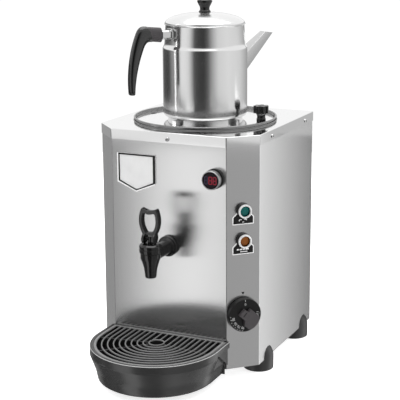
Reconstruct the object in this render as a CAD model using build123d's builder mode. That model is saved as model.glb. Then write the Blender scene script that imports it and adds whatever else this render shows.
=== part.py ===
"""Counter-top water boiler with a teapot on its lid.

The origin is on the floor under the middle of the whole object. +Z is up, the tap and the
drip tray face -Y, and +X is the side with the two lamps and the thermostat knob.
"""

import os
from math import cos, radians, sin, sqrt

from build123d import *

os.makedirs("parts", exist_ok=True)

# ------------------------------------------------------------------ driving dimensions, mm

# folded sheet body
body_width = 278.0
body_depth = 282.0
corner_leg = 39.4  # how far the front corners are cut back, along each side
sheet = 0.8
bend_radius = 2.0
return_flange = 16.0  # the wrap's rear edges are folded inwards this far
floor_flange = 15.0
body_floor_z = 20.0
top_z = 394.0
cover_drop = 16.4
cover_gap = 0.2
slit_width = 0.9

# tank, let into the cover
tank_radius = 109.0
tank_wall = 1.0
tank_floor_z = 190.0
tank_floor_corner = 12.0
ledge_z = 389.0  # the lid stands on this ledge
rim_radius = 116.5
rim_top_z = 400.2
bead_radius = 1.5
seal_lip = 1.4
seal_thickness = 0.9
seal_gap = 0.2
curve_gap = 0.05  # between round faces that seat on each other
stand_ring_width = 10.0
stand_sheet = 1.5
stand_leg_width = 20.0

# tank lid
lid_gap = 0.5
lid_sheet = 1.0
lid_top_z = 394.8
lid_vent_radius = 38.0
steam_hole_radius = 4.8
steam_hole_x, steam_hole_back = -100.0, 8.0
lid_knob_x, lid_knob_back = 98.5, 2.0
lid_knob_radius = 13.0
lid_knob_lobes = 7
lid_knob_head = 12.5
lid_knob_stem = 14.5
lid_knob_stem_radius = 7.0
stand_inset, stand_width = 7.5, 12.0  # its ring inside the teapot's wall, and the ring's width
stand_height = 5.2
stand_wall = 1.2
stand_arm_overhang, stand_arm_width = 3.5, 7.0  # the arms end this far outside the teapot's wall
stand_arm_angle = -19.0

# teapot
pot_radius = 69.5
pot_wall = 0.8
pot_corner = 8.0
pot_shoulder_z = 514.0
pot_neck_foot_z = 518.0
pot_neck_step = 3.0  # the neck's foot stands this far inside the wall
pot_neck_top_z = 550.0
pot_neck_taper = 2.0
pot_rim_z = 552.0
pot_rim_lip = 2.5
pot_turn = 56.1  # the spout's direction, degrees from +X
pot_lid_overhang = 1.0  # past the top of the neck
pot_lid_edge = 2.5  # the height of its upright edge
pot_lid_rise = 18.0  # from the rim to the crown's top
pot_lid_crown_inset, pot_lid_crown_drop = 17.5, 5.3
pot_lid_skirt = 6.0
pot_lid_skirt_gap = 0.6
pot_knob_base_radius = 10.8
pot_knob_waist_radius = 7.5
pot_knob_top_radius = 13.5
pot_knob_height = 22.0

# spout: a folded wedge, flat on top with a keel below
spout_root_half, spout_root_top_z, spout_root_keel_z = 14.4, 497.5, 456.3
spout_mouth_half, spout_mouth_reach, spout_mouth_z = 7.0, 45.1, 532.0  # reaches count from the teapot's wall
spout_tip_reach, spout_tip_z = 64.5, 529.5

# teapot handle: its side view, counted outwards from the bracket's end and up or down from its middle
handle_width = 16.0
handle_round = 2.5
handle_foot_drop = 12.2
handle_elbow_reach, handle_elbow_drop = 23.0, 9.6
handle_hollow_reach, handle_hollow_drop = 38.6, 37.3
handle_inner_tip_reach, handle_inner_tip_drop = 48.8, 94.0
handle_outer_tip_reach, handle_outer_tip_drop = 58.2, 93.4
handle_back_reach, handle_back_drop = 60.2, 49.0
handle_knee_reach, handle_knee_rise = 38.6, 15.9
handle_head_rise = 12.7
handle_end_round, handle_elbow_round, handle_tip_round, handle_knee_round = 2.0, 5.0, 4.0, 9.0
bracket_reach = 13.5  # from the teapot's wall to the handle
bracket_height = 15.0
bracket_z = 537.0
bracket_round = 4.0
tang_size = 8.0
tang_length = 16.0
slip_gap = 0.1  # all round a tang in its socket or a screw in its hole

# tap
tap_reach = 63.0
shank_z = 212.3
shank_radius = 11.4
shank_thread_radius = 10.0
shank_inside = 24.0
shank_bore = 6.0
collar_radius, collar_length = 16.75, 6.0
tap_gasket_length = 1.2
nozzle_bottom_z = 178.0
nozzle_bore = 6.5
nozzle_lip_radius, nozzle_lip_height = 8.7, 1.0
nozzle_neck_radius, nozzle_neck_z = 10.1, 191.0
nozzle_swell_radius, nozzle_swell_z = 12.2, 200.0
tap_waist_radius, tap_waist_foot_z, tap_waist_top_z = 15.7, 209.5, 217.0
tap_cup_radius = 17.35
collar_round = 1.5
tap_seat_z = 206.0
tap_seat_bore = 5.0
chamber_radius = 12.0
bonnet_z = 224.0
bonnet_edge_z = 230.0
bonnet_top_z = 232.5
bonnet_radius = 17.0
bonnet_top_radius = 14.0
bonnet_boss_z = 219.5
bonnet_recess_radius = 9.2
bonnet_ceiling_z = 226.0
stem_radius = 3.9
stem_clearance = 0.1
heel_radius = 7.0
heel_offset = 4.5  # how far the heel's centre stands in front of the pin
heel_gap = 0.3
pin_radius = 1.5
pin_clearance = 0.08
fork_width, fork_gap = 21.0, 13.0
fork_height = 15.0
loop_depth = 10.0
loop_limb = 5.7
loop_half = 17.1
loop_height = 41.0
loop_horn_half = 12.2
loop_dip = 3.6
loop_round = 1.8
seat_cup_radius, seat_cup_height = 9.0, 5.0
seat_gap = 0.1
spring_radius, spring_wire_radius = 7.0, 0.6
spring_turns = 4

# drip tray and its grill
tray_radius = 105.0
tray_centre = 47.0  # in front of the front panel
tray_top_z = 67.0
tray_band_z = 54.0
tray_waist_radius, tray_waist_z = 96.5, 30.0
tray_floor_radius, tray_floor_z = 93.0, 12.0
tray_flare_radius = 105.5
tray_flare_height, tray_flare_end = 1.2, 1.8
tray_side_half = 98.0
tray_gusset_reach, tray_gusset_drop = 34.0, 26.0
tray_wall = 2.6
tray_back_wall = 2.5
tray_gap = 0.3
tray_floor_round = 3.0
tray_ledge_depth = 2.8
tray_ledge_radius = 97.2
tray_ledge_skirt = 20.0
hook_width, hook_thickness, hook_length = 24.0, 3.0, 18.0
hook_z, hook_x = 50.0, 60.0
hook_slot_gap = 0.4
grill_gap = 0.3
grill_thickness = 2.4
grill_hole_radius = 11.0
grill_hub_radius = 13.0
grill_pitch = 9.3
grill_slot = 7.2
grill_rings = 9
grill_back_border = 3.0
grill_tie_width = 2.4
grill_tie_angles = (-5.0, -45.0, -90.0, -130.0, -171.0)

# thermometer
meter_corner_gap, meter_z = 19.6, 327.9  # from the corner bend to its middle
meter_radius = 15.0
meter_reach = 16.5
meter_ring_radius, meter_ring_length = 15.75, 3.0
meter_barrel_radius, meter_barrel_length = 12.9, 22.0
meter_face_radius, meter_face_depth = 12.4, 3.0
meter_face_thickness = 1.6
meter_nut_radius, meter_nut_length = 17.0, 6.0
probe_angle, probe_z = -30.0, 232.0
probe_radius, probe_length = 3.0, 26.0
probe_hex, probe_hex_length = 14.0, 10.0

# pilot lamps and their labels
lamp_zs = (277.4, 229.6)
lamp_radius = 11.5
lamp_reach = 11.0
lamp_bevel = 2.0
lamp_recess_radius, lamp_recess_depth = 8.2, 3.0
lamp_lens_radius, lamp_lens_thickness = 8.0, 1.6
lamp_barrel_radius, lamp_barrel_length = 8.0, 26.0
lamp_nut_hex, lamp_nut_length = 22.0, 4.0
label_half, label_drop = 17.8, 22.5
label_shoulder, label_rise = 12.0, 19.0
label_neck_half = 10.5
label_thickness = 0.6
label_lamp_gap = 0.4

# thermostat
thermostat_z = 109.5
thermostat_size, thermostat_height, thermostat_depth = 34.0, 40.0, 28.0
thermostat_boss_radius = 5.0
spindle_radius = 3.0
spindle_clearance = 0.08
spindle_inside, spindle_outside = 20.0, 14.0
spindle_flat = 1.8
dial_radius, dial_height = 27.2, 9.0
dial_gap = 1.2
dial_hollow_radius, dial_hollow_depth = 23.0, 5.0
dial_grip_width, dial_grip_height = 9.0, 10.0
dial_grip_angle = 38.0
thermostat_screw_spacing = 28.0
bulb_radius, bulb_length = 3.0, 60.0
bulb_end = 97.0  # from the corner panel to the bulb's near end
capillary_radius = 1.0
capillary_bend = 12.0

# heating element and cut-out
element_ring_inset = 49.0  # inside the tank's wall
element_tube_radius = 4.0
element_z = 216.0
element_gap_angle = 15.0
element_drop_radius = 10.0
element_plug_hex = 34.0
element_plug_boss_radius = 12.8
element_plug_height = 9.0
element_gasket_thickness = 1.5
element_ring_nut_radius, element_ring_nut_height = 17.0, 6.0
cutout_x, cutout_back = -40.0, -30.0
cutout_radius, cutout_height = 12.0, 8.0

# feet
foot_radius = 24.5
foot_shoulder_z = 20.0
foot_tip_z = 46.0
foot_side_inset = 17.0  # from the body's side to a foot's middle
foot_front_inset, foot_rear_inset = 79.0, 39.0
foot_recess_radius, foot_recess_depth = 7.0, 8.0
foot_gap = 0.3

# badge plate
badge_left, badge_right = -89.0, -21.5
badge_top_z, badge_side_z, badge_tip_z = 356.0, 309.0, 295.0
badge_base, badge_thickness, badge_rim = 1.6, 2.5, 2.5

# electrical bits in the base
gland_x, gland_z = -80.0, 60.0
gland_thread_radius, gland_bore_radius = 9.0, 4.0
gland_hex, gland_hex_length = 24.0, 8.0
gland_dome_radius, gland_reach = 11.0, 20.0
gland_inside = 12.0
gland_nut_length = 5.0
terminal_x, terminal_rear_inset = -80.0, 47.0
terminal_screw_radius = 2.2
terminal_length, terminal_width, terminal_height = 42.0, 22.0, 18.0
terminal_ways = 3

# vent slots
vent_length, vent_width, vent_pitch, vent_rows = 70.0, 4.0, 9.0, 6
floor_vent_length, floor_vent_width, floor_vent_pitch, floor_vent_columns = 40.0, 5.0, 14.0, 9
floor_vent_spacing = 60.0

# screws
screw_radius = 1.9
screw_head_radius, screw_head_height = 3.5, 2.2
screw_length = 8.0
cover_screw_z = 383.7
cover_screw_front_inset, cover_screw_rear_inset = 87.7, 42.7
panel_screw_zs = (40.0, 205.0, 365.0)
foot_screw_radius = 2.5
foot_screw_head_radius = 4.6
foot_screw_head_height = 3.0
foot_nut_hex, foot_nut_height = 8.0, 4.0
hole_gap = 0.2
stud_radius = 3.0
stud_nut_hex, stud_nut_height = 10.0, 4.5

# ------------------------------------------------------------------ places worked out from them

front_y = -(body_depth + gland_reach - tray_centre - tray_flare_radius) / 2
back_y = front_y + body_depth
axis_y = front_y + body_depth / 2  # the tank's axis, and the teapot's
wrap_top_z = top_z - sheet
pot_z = lid_top_z + stand_height
meter_x = body_width / 2 - corner_leg - meter_corner_gap
element_ring_radius = tank_radius - element_ring_inset
stand_outer = pot_radius - stand_inset
stand_inner = stand_outer - stand_width
stand_arm_reach = pot_radius + stand_arm_overhang
pot_neck_foot_radius = pot_radius - pot_neck_step
pot_neck_top_radius = pot_neck_foot_radius - pot_neck_taper
pot_rim_radius = pot_neck_top_radius + pot_rim_lip
pot_lid_radius = pot_neck_top_radius + pot_lid_overhang
pot_lid_crown_radius = pot_lid_radius - pot_lid_crown_inset
pot_lid_edge_z = pot_rim_z + pot_lid_edge
pot_lid_top_z = pot_rim_z + pot_lid_rise
pot_lid_crown_z = pot_lid_top_z - pot_lid_crown_drop
spout_mouth_s = pot_radius + spout_mouth_reach
spout_tip_s = pot_radius + spout_tip_reach
handle_start = pot_radius + bracket_reach
foot_x = body_width / 2 - foot_side_inset
foot_backs = (foot_front_inset, body_depth - foot_rear_inset)
cover_screw_backs = (cover_screw_front_inset, body_depth - cover_screw_rear_inset)
tap_y = front_y - tap_reach
tray_y = front_y - tray_centre
pin_z = bonnet_top_z + heel_gap + heel_radius

front = Plane(origin=(0, front_y, 0), x_dir=(1, 0, 0), z_dir=(0, -1, 0))
back = Plane(origin=(0, back_y, 0), x_dir=(-1, 0, 0), z_dir=(0, 1, 0))
corner = Plane(
    origin=(body_width / 2 - corner_leg / 2, front_y + corner_leg / 2, 0),
    x_dir=(1, 1, 0),
    z_dir=(1, -1, 0),
)
tank_axis = Axis((0, axis_y, 0), (0, 0, 1))
tap_axis = Axis((0, tap_y, 0), (0, 0, 1))
tank_half = Plane(origin=(0, axis_y, 0), x_dir=(1, 0, 0), z_dir=(0, -1, 0))
tap_half = Plane(origin=(0, tap_y, 0), x_dir=(1, 0, 0), z_dir=(0, -1, 0))
tap_side = Plane(origin=(0, tap_y, 0), x_dir=(0, 1, 0), z_dir=(1, 0, 0))
tank_plan = Plane(origin=(0, axis_y, 0))

spout_x, spout_y = cos(radians(pot_turn)), sin(radians(pot_turn))
handle_plane = Plane(
    origin=(0, axis_y, 0), x_dir=(-spout_x, -spout_y, 0), z_dir=(-spout_y, spout_x, 0)
)

below = (Align.CENTER, Align.CENTER, Align.MAX)
above = (Align.CENTER, Align.CENTER, Align.MIN)


def outline_points(inset, rear_inset):
    """Corners of the body's plan, each side moved inwards by inset."""
    half = body_width / 2 - inset
    leg = corner_leg - inset * (2 - sqrt(2))
    y0, y1 = front_y + inset, back_y - rear_inset
    return [(-half, y1), (-half, y0 + leg), (-half + leg, y0), (half - leg, y0), (half, y0 + leg), (half, y1)]


def body_outline(inset, rear_inset):
    """The body's plan with its bends, as a sketch."""
    with BuildSketch() as plan:
        with BuildLine():
            FilletPolyline(*outline_points(inset, rear_inset), radius=bend_radius - inset, close=True)
        make_face()
    return plan.sketch


def hexagon(across_flats, turn=0):
    """A hexagon given by its spanner size."""
    return RegularPolygon(across_flats / 2, 6, major_radius=False, rotation=turn)


def body_screw(length):
    """A pan-head screw, the underside of its head on the plane of the current locations."""
    Cylinder(screw_head_radius, screw_head_height, align=above)
    Cylinder(screw_radius, length, align=below)


# ------------------------------------------------------------------ screw places

cover_screws_at = [Plane(origin=(0, front_y - cover_gap - sheet, cover_screw_z), z_dir=(0, -1, 0))]
cover_screws_at += [Plane(origin=(0, back_y + cover_gap + sheet, cover_screw_z), z_dir=(0, 1, 0))]
for side in (-1, 1):
    for back_by in cover_screw_backs:
        face_x = side * (body_width / 2 + cover_gap + sheet)
        cover_screws_at.append(Plane(origin=(face_x, front_y + back_by, cover_screw_z), z_dir=(side, 0, 0)))

panel_screws_at = [
    Plane(origin=(side * (body_width - return_flange) / 2, back_y, z), z_dir=(0, 1, 0))
    for side in (-1, 1)
    for z in panel_screw_zs
]
feet_at = [(side * foot_x, front_y + back_by) for back_by in foot_backs for side in (-1, 1)]

# ------------------------------------------------------------------ body

with BuildPart() as body_wrap:
    with BuildSketch(Plane.XY.offset(body_floor_z)):
        add(body_outline(0, sheet))
        add(body_outline(sheet, 2 * sheet), mode=Mode.SUBTRACT)
        with Locations((0, back_y)):
            Rectangle(body_width - 2 * return_flange, 4 * bend_radius, mode=Mode.SUBTRACT)
    extrude(amount=wrap_top_z - body_floor_z)
    with BuildSketch(front):
        with Locations((0, shank_z)):
            Circle(shank_thread_radius + hole_gap)
        with Locations((meter_x, meter_z)):
            Circle(meter_barrel_radius + hole_gap)
        with Locations((-hook_x, hook_z), (hook_x, hook_z)):
            Rectangle(hook_width + 2 * hook_slot_gap, hook_thickness + 2 * hook_slot_gap)
    extrude(amount=-2 * sheet, mode=Mode.SUBTRACT)
    with BuildSketch(corner):
        with Locations(*[(0, z) for z in lamp_zs]):
            Circle(lamp_barrel_radius + hole_gap)
        with Locations((0, thermostat_z)):
            Circle(thermostat_boss_radius + hole_gap)
            with GridLocations(thermostat_screw_spacing, 0, 2, 1):
                Circle(screw_radius + hole_gap)
    extrude(amount=-2 * sheet, mode=Mode.SUBTRACT)
    with Locations(*cover_screws_at, *panel_screws_at):
        Cylinder(screw_radius + slip_gap, 2 * screw_length, mode=Mode.SUBTRACT)
body_wrap.part.label = "body_wrap"
export_step(body_wrap.part, "parts/body_wrap.step")

with BuildPart() as back_panel:
    with BuildSketch(back):
        with Locations((0, (wrap_top_z + body_floor_z) / 2)):
            Rectangle(body_width - 2 * bend_radius, wrap_top_z - body_floor_z)
        with Locations((-gland_x, gland_z)):
            Circle(gland_thread_radius + hole_gap, mode=Mode.SUBTRACT)
        with Locations((0, gland_z), (0, top_z - 2 * gland_z)):
            with GridLocations(0, vent_pitch, 1, vent_rows):
                SlotOverall(vent_length, vent_width, mode=Mode.SUBTRACT)
    extrude(amount=-sheet)
    with Locations(*cover_screws_at, *panel_screws_at):
        Cylinder(screw_radius + slip_gap, 2 * screw_length, mode=Mode.SUBTRACT)
back_panel.part.label = "back_panel"
export_step(back_panel.part, "parts/back_panel.step")

with BuildPart() as bottom_plate:
    with BuildSketch(Plane.XY.offset(body_floor_z)):
        add(body_outline(sheet, 2 * sheet))
    extrude(amount=floor_flange)
    with BuildSketch(Plane.XY.offset(body_floor_z + sheet)):
        add(body_outline(2 * sheet, 3 * sheet))
    extrude(amount=floor_flange, mode=Mode.SUBTRACT)
    with BuildSketch(Plane.XY.offset(body_floor_z)):
        with Locations(*feet_at):
            Circle(foot_screw_radius + hole_gap)
        with Locations((0, axis_y)):
            with GridLocations(floor_vent_pitch, floor_vent_spacing, floor_vent_columns, 2):
                SlotOverall(floor_vent_length, floor_vent_width, rotation=90)
    extrude(amount=sheet, mode=Mode.SUBTRACT)
bottom_plate.part.label = "bottom_plate"
export_step(bottom_plate.part, "parts/bottom_plate.step")

cover_inset = cover_gap + sheet
cover_hole_radius = rim_radius + seal_gap + seal_thickness + curve_gap
with BuildPart() as top_cover:
    with BuildSketch(Plane.XY.offset(top_z - cover_drop)):
        add(body_outline(-cover_inset, -cover_inset))
    extrude(amount=cover_drop)
    fillet(top_cover.faces().sort_by(Axis.Z)[-1].edges(), radius=1.5 * sheet)
    with BuildSketch(Plane.XY.offset(top_z - cover_drop)):
        add(body_outline(-cover_gap, -cover_gap))
    extrude(amount=cover_drop - sheet, mode=Mode.SUBTRACT)
    with BuildSketch(tank_plan.offset(top_z)):
        Circle(cover_hole_radius)
    extrude(amount=-sheet, mode=Mode.SUBTRACT)
    # the corner tabs are folded down by themselves: a slit at each of the four front bends
    slit_points = outline_points(-cover_inset, -cover_inset)[1:5]
    slit_turns = (22.5, 67.5, 112.5, 157.5)
    with BuildSketch(Plane.XY.offset(top_z - cover_drop)):
        for slit_point, slit_turn in zip(slit_points, slit_turns):
            with Locations(slit_point):
                Rectangle(6 * sheet, slit_width, rotation=slit_turn)
    extrude(amount=cover_drop - 3 * sheet, mode=Mode.SUBTRACT)
    with Locations(*cover_screws_at):
        Cylinder(screw_radius + hole_gap, 2 * screw_length, mode=Mode.SUBTRACT)
top_cover.part.label = "top_cover"
export_step(top_cover.part, "parts/top_cover.step")

with BuildPart() as cover_screws:
    with Locations(*cover_screws_at):
        body_screw(screw_length)
cover_screws.part.label = "cover_screws"
export_step(cover_screws.part, "parts/cover_screws.step")

with BuildPart() as back_panel_screws:
    with Locations(*panel_screws_at):
        body_screw(screw_length)
back_panel_screws.part.label = "back_panel_screws"
export_step(back_panel_screws.part, "parts/back_panel_screws.step")

# A foot is a bullet cut to fit under the body, with a tongue that shows beside it.
for side, name in ((-1, "left_feet"), (1, "right_feet")):
    with BuildPart() as feet:
        for x, y in feet_at:
            if x * side < 0:
                continue
            with BuildSketch(Plane(origin=(x, y, 0), x_dir=(1, 0, 0), z_dir=(0, -1, 0))):
                with BuildLine():
                    Polyline((0, foot_tip_z), (0, 0), (foot_radius, 0), (foot_radius, foot_shoulder_z))
                    TangentArc((foot_radius, foot_shoulder_z), (0, foot_tip_z), tangent=(0, 1))
                make_face()
            revolve(axis=Axis((x, y, 0), (0, 0, 1)))
            with BuildSketch(Plane(origin=(x, y, 0))):
                Circle(foot_recess_radius)
            extrude(amount=foot_recess_depth, mode=Mode.SUBTRACT)
            with BuildSketch(Plane(origin=(x, y, 0))):
                Circle(foot_screw_radius + hole_gap)
            extrude(amount=foot_tip_z, mode=Mode.SUBTRACT)
        # what the body's floor and side wall take away
        with BuildSketch(Plane(origin=(0, axis_y, body_floor_z))):
            Rectangle(body_width + 2 * foot_gap, body_depth)
        extrude(amount=foot_tip_z, mode=Mode.SUBTRACT)
    feet.part.label = name
    export_step(feet.part, f"parts/{name}.step")

with BuildPart() as foot_screws:
    with Locations(*[Plane(origin=(x, y, foot_recess_depth)) for x, y in feet_at]):
        Cylinder(foot_screw_head_radius, foot_screw_head_height, align=below)
        Cylinder(foot_screw_radius, body_floor_z + 2 * foot_nut_height - foot_recess_depth, align=above)
    for x, y in feet_at:
        with BuildSketch(Plane(origin=(x, y, body_floor_z + sheet))):
            hexagon(foot_nut_hex)
            Circle(foot_screw_radius + slip_gap, mode=Mode.SUBTRACT)
        extrude(amount=foot_nut_height)
foot_screws.part.label = "foot_screws"
export_step(foot_screws.part, "parts/foot_screws.step")

# ------------------------------------------------------------------ tank

outlet_bore = shank_thread_radius - 2
element_plan = Plane(origin=(0, axis_y + element_ring_radius, tank_floor_z))
probe_way = (cos(radians(probe_angle)), sin(radians(probe_angle)), 0)
probe_plane = Plane(
    origin=(tank_radius * probe_way[0], axis_y + tank_radius * probe_way[1], probe_z), z_dir=probe_way
)

with BuildPart() as tank:
    with BuildSketch(tank_half):
        with BuildLine():
            FilletPolyline(
                (0, tank_floor_z),
                (tank_radius, tank_floor_z),
                (tank_radius, ledge_z - tank_wall),
                (rim_radius, ledge_z - tank_wall),
                (rim_radius, rim_top_z - bead_radius),
                radius=[tank_floor_corner, tank_wall, tank_wall + lid_gap / 2],
            )
            offset(amount=tank_wall, side=Side.LEFT)
        make_face()
    revolve(axis=tank_axis)
    with BuildSketch(tank_half):
        with Locations((rim_radius - tank_wall + bead_radius, rim_top_z - bead_radius)):
            Circle(bead_radius)
    revolve(axis=tank_axis)
    with BuildSketch(element_plan):
        Circle(element_plug_boss_radius + hole_gap)
    extrude(amount=tank_wall, mode=Mode.SUBTRACT)
    with BuildSketch(front):
        with Locations((0, shank_z)):
            Circle(outlet_bore)
    extrude(amount=-body_depth / 2, mode=Mode.SUBTRACT)
    with Locations(probe_plane):
        Cylinder(probe_radius + hole_gap, 2 * tank_floor_corner, mode=Mode.SUBTRACT)
tank.part.label = "tank"
export_step(tank.part, "parts/tank.step")

with BuildPart() as tank_seal:
    with BuildSketch(tank_half):
        with Locations((rim_radius + seal_gap, top_z - sheet / 2)):
            Rectangle(seal_thickness + seal_lip, sheet + 2 * seal_thickness, align=(Align.MIN, Align.CENTER))
        with Locations((rim_radius + seal_gap + seal_thickness, top_z - sheet / 2)):
            Rectangle(2 * seal_lip, sheet, align=(Align.MIN, Align.CENTER), mode=Mode.SUBTRACT)
    revolve(axis=tank_axis)
tank_seal.part.label = "tank_seal"
export_step(tank_seal.part, "parts/tank_seal.step")

stand_ring_radius = tank_radius - tank_floor_corner - 2 * stand_sheet
leg_foot_z = body_floor_z + sheet
with BuildPart() as tank_stand:
    with BuildSketch(tank_plan.offset(tank_floor_z)):
        Circle(stand_ring_radius)
        Circle(stand_ring_radius - stand_ring_width, mode=Mode.SUBTRACT)
    extrude(amount=-stand_sheet)
    with Locations(tank_plan.offset(leg_foot_z)):
        with PolarLocations(stand_ring_radius, 4):
            Box(
                stand_sheet,
                stand_leg_width,
                tank_floor_z - leg_foot_z,
                align=(Align.MAX, Align.CENTER, Align.MIN),
            )
            Box(stand_leg_width, stand_leg_width, stand_sheet, align=(Align.MAX, Align.CENTER, Align.MIN))
tank_stand.part.label = "tank_stand"
export_step(tank_stand.part, "parts/tank_stand.step")

with BuildPart() as outlet_pipe:
    with BuildSketch(front.offset(-shank_inside / 2)):
        with Locations((0, shank_z)):
            Circle(shank_thread_radius + 3)
            Circle(shank_thread_radius + slip_gap, mode=Mode.SUBTRACT)
    extrude(amount=-body_depth / 2 + shank_inside / 2)
    with BuildSketch(tank_plan.offset(tank_floor_z)):
        Circle(tank_radius + curve_gap)
    extrude(amount=ledge_z - tank_floor_z, mode=Mode.SUBTRACT)
outlet_pipe.part.label = "outlet_pipe"
export_step(outlet_pipe.part, "parts/outlet_pipe.step")

# The element is one tube: a ring with a gap at the back, whose ends turn down into the plug.
def ring_point(angle):
    """A point on the element's ring and the ring's direction there."""
    across, along = cos(radians(angle)), sin(radians(angle))
    point = (element_ring_radius * across, axis_y + element_ring_radius * along, element_z)
    return Vector(*point), Vector(-along, across, 0)


element_ends = []
for angle, way in ((90 + element_gap_angle, -1), (90 - element_gap_angle, 1)):
    ring_end, tangent = ring_point(angle)
    bend_end = ring_end + tangent * way * element_drop_radius - Vector(0, 0, element_drop_radius)
    element_ends.append((ring_end, tangent * way, bend_end))
with BuildPart() as heating_element:
    with BuildLine():
        for ring_end, tangent, bend_end in element_ends:
            TangentArc(ring_end, bend_end, tangent=tangent)
            Line(bend_end, (bend_end.X, bend_end.Y, tank_floor_z - element_plug_height - 4))
        ThreePointArc(element_ends[0][0], ring_point(270)[0], element_ends[1][0])
    with BuildSketch(Plane(origin=ring_point(270)[0], z_dir=ring_point(270)[1])):
        Circle(element_tube_radius)
    sweep()
heating_element.part.label = "heating_element"
export_step(heating_element.part, "parts/heating_element.step")

with BuildPart() as element_plug:
    with BuildSketch(element_plan.offset(-element_gasket_thickness)):
        hexagon(element_plug_hex)
    extrude(amount=-element_plug_height + element_gasket_thickness)
    with BuildSketch(element_plan.offset(-element_gasket_thickness)):
        Circle(element_plug_boss_radius)
    extrude(amount=element_gasket_thickness + tank_wall + element_ring_nut_height)
    with BuildSketch(element_plan.offset(-element_plug_height)):
        with Locations(*[(end.X, end.Y - axis_y - element_ring_radius) for _, _, end in element_ends]):
            Circle(element_tube_radius + curve_gap)
    extrude(amount=3 * element_plug_height, mode=Mode.SUBTRACT)
    with BuildSketch(element_plan.offset(tank_wall)):
        Circle(element_ring_nut_radius)
        Circle(element_plug_boss_radius + slip_gap, mode=Mode.SUBTRACT)
    extrude(amount=element_ring_nut_height)
element_plug.part.label = "element_plug"
export_step(element_plug.part, "parts/element_plug.step")

with BuildPart() as element_gasket:
    with BuildSketch(element_plan):
        Circle(element_plug_hex / 2)
        Circle(element_plug_boss_radius + slip_gap, mode=Mode.SUBTRACT)
    extrude(amount=-element_gasket_thickness)
element_gasket.part.label = "element_gasket"
export_step(element_gasket.part, "parts/element_gasket.step")

cutout_plan = Plane(origin=(cutout_x, axis_y + cutout_back, tank_floor_z))
with BuildPart() as safety_cutout:
    with BuildSketch(cutout_plan):
        Circle(cutout_radius)
        SlotCenterToCenter(3 * cutout_radius, cutout_radius)
    extrude(amount=-1)
    with BuildSketch(cutout_plan):
        Circle(cutout_radius)
    extrude(amount=-cutout_height)
    with BuildSketch(cutout_plan.offset(-cutout_height)):
        with GridLocations(cutout_radius, 0, 2, 1):
            Rectangle(0.8, 6)
    extrude(amount=-cutout_height)
safety_cutout.part.label = "safety_cutout"
export_step(safety_cutout.part, "parts/safety_cutout.step")

with BuildPart() as thermometer_probe:
    with BuildSketch(probe_plane.offset(slip_gap)):
        hexagon(probe_hex)
    extrude(amount=probe_hex_length)
    with Locations(probe_plane.offset(slip_gap)):
        Cylinder(probe_radius, probe_length, align=below)
thermometer_probe.part.label = "thermometer_probe"
export_step(thermometer_probe.part, "parts/thermometer_probe.step")

# ------------------------------------------------------------------ lid of the tank

lid_radius = rim_radius - tank_wall - lid_gap
lid_knob_plan = Plane(origin=(lid_knob_x, axis_y + lid_knob_back, lid_top_z))

with BuildPart() as tank_lid:
    with BuildSketch(tank_half):
        with BuildLine():
            FilletPolyline(
                (lid_radius, ledge_z), (lid_radius, lid_top_z), (lid_vent_radius, lid_top_z), radius=1.5 * lid_sheet
            )
            offset(amount=lid_sheet, side=Side.LEFT)
        make_face()
    revolve(axis=tank_axis)
    with BuildSketch(tank_plan.offset(lid_top_z)):
        with Locations((steam_hole_x, steam_hole_back)):
            Circle(steam_hole_radius)
        with Locations((lid_knob_x, lid_knob_back)):
            Circle(stud_radius + hole_gap)
    extrude(amount=-lid_sheet, mode=Mode.SUBTRACT)
tank_lid.part.label = "tank_lid"
export_step(tank_lid.part, "parts/tank_lid.step")

with BuildPart() as pot_stand:
    with BuildSketch(tank_half):
        with Locations((stand_inner, lid_top_z)):
            Rectangle(stand_outer - stand_inner, stand_height, align=(Align.MIN, Align.MIN))
        with Locations((stand_inner + stand_wall, lid_top_z)):
            Rectangle(
                stand_outer - stand_inner - 2 * stand_wall,
                stand_height - stand_wall,
                align=(Align.MIN, Align.MIN),
                mode=Mode.SUBTRACT,
            )
    revolve(axis=tank_axis)
    with Locations(tank_plan.offset(lid_top_z)):
        with PolarLocations(stand_arm_reach, 4, start_angle=stand_arm_angle):
            Box(
                stand_arm_reach - stand_outer + stand_wall / 2,
                stand_arm_width,
                stand_height,
                align=(Align.MAX, Align.CENTER, Align.MIN),
            )
pot_stand.part.label = "pot_stand"
export_step(pot_stand.part, "parts/pot_stand.step")

lobe_radius = 0.25 * lid_knob_radius
with BuildPart() as lid_knob:
    with BuildSketch(Plane(origin=lid_knob_plan.origin, x_dir=(1, 0, 0), z_dir=(0, -1, 0))):
        with BuildLine():
            Polyline(
                (0, 0),
                (lid_knob_stem_radius, 0),
                (lid_knob_stem_radius, 0.4 * lid_knob_stem),
                (0.88 * lid_knob_stem_radius, 0.46 * lid_knob_stem),
                (0.88 * lid_knob_stem_radius, 0.72 * lid_knob_stem),
                (0.8 * lid_knob_radius, lid_knob_stem),
                (0, lid_knob_stem),
                close=True,
            )
        make_face()
    revolve(axis=Axis(lid_knob_plan.origin, (0, 0, 1)))
    with BuildSketch(lid_knob_plan.offset(lid_knob_stem)) as star:
        Circle(0.8 * lid_knob_radius)
        with PolarLocations(lid_knob_radius - lobe_radius, lid_knob_lobes):
            Circle(lobe_radius)
        fillet(star.vertices(), radius=0.25 * lobe_radius)
    extrude(amount=lid_knob_head)
    fillet(lid_knob.faces().sort_by(Axis.Z)[-1].edges(), radius=0.4 * lobe_radius)
    with BuildSketch(lid_knob_plan):
        Circle(stud_radius + slip_gap)
    extrude(amount=0.7 * lid_knob_stem, mode=Mode.SUBTRACT)
lid_knob.part.label = "lid_knob"
export_step(lid_knob.part, "parts/lid_knob.step")

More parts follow.
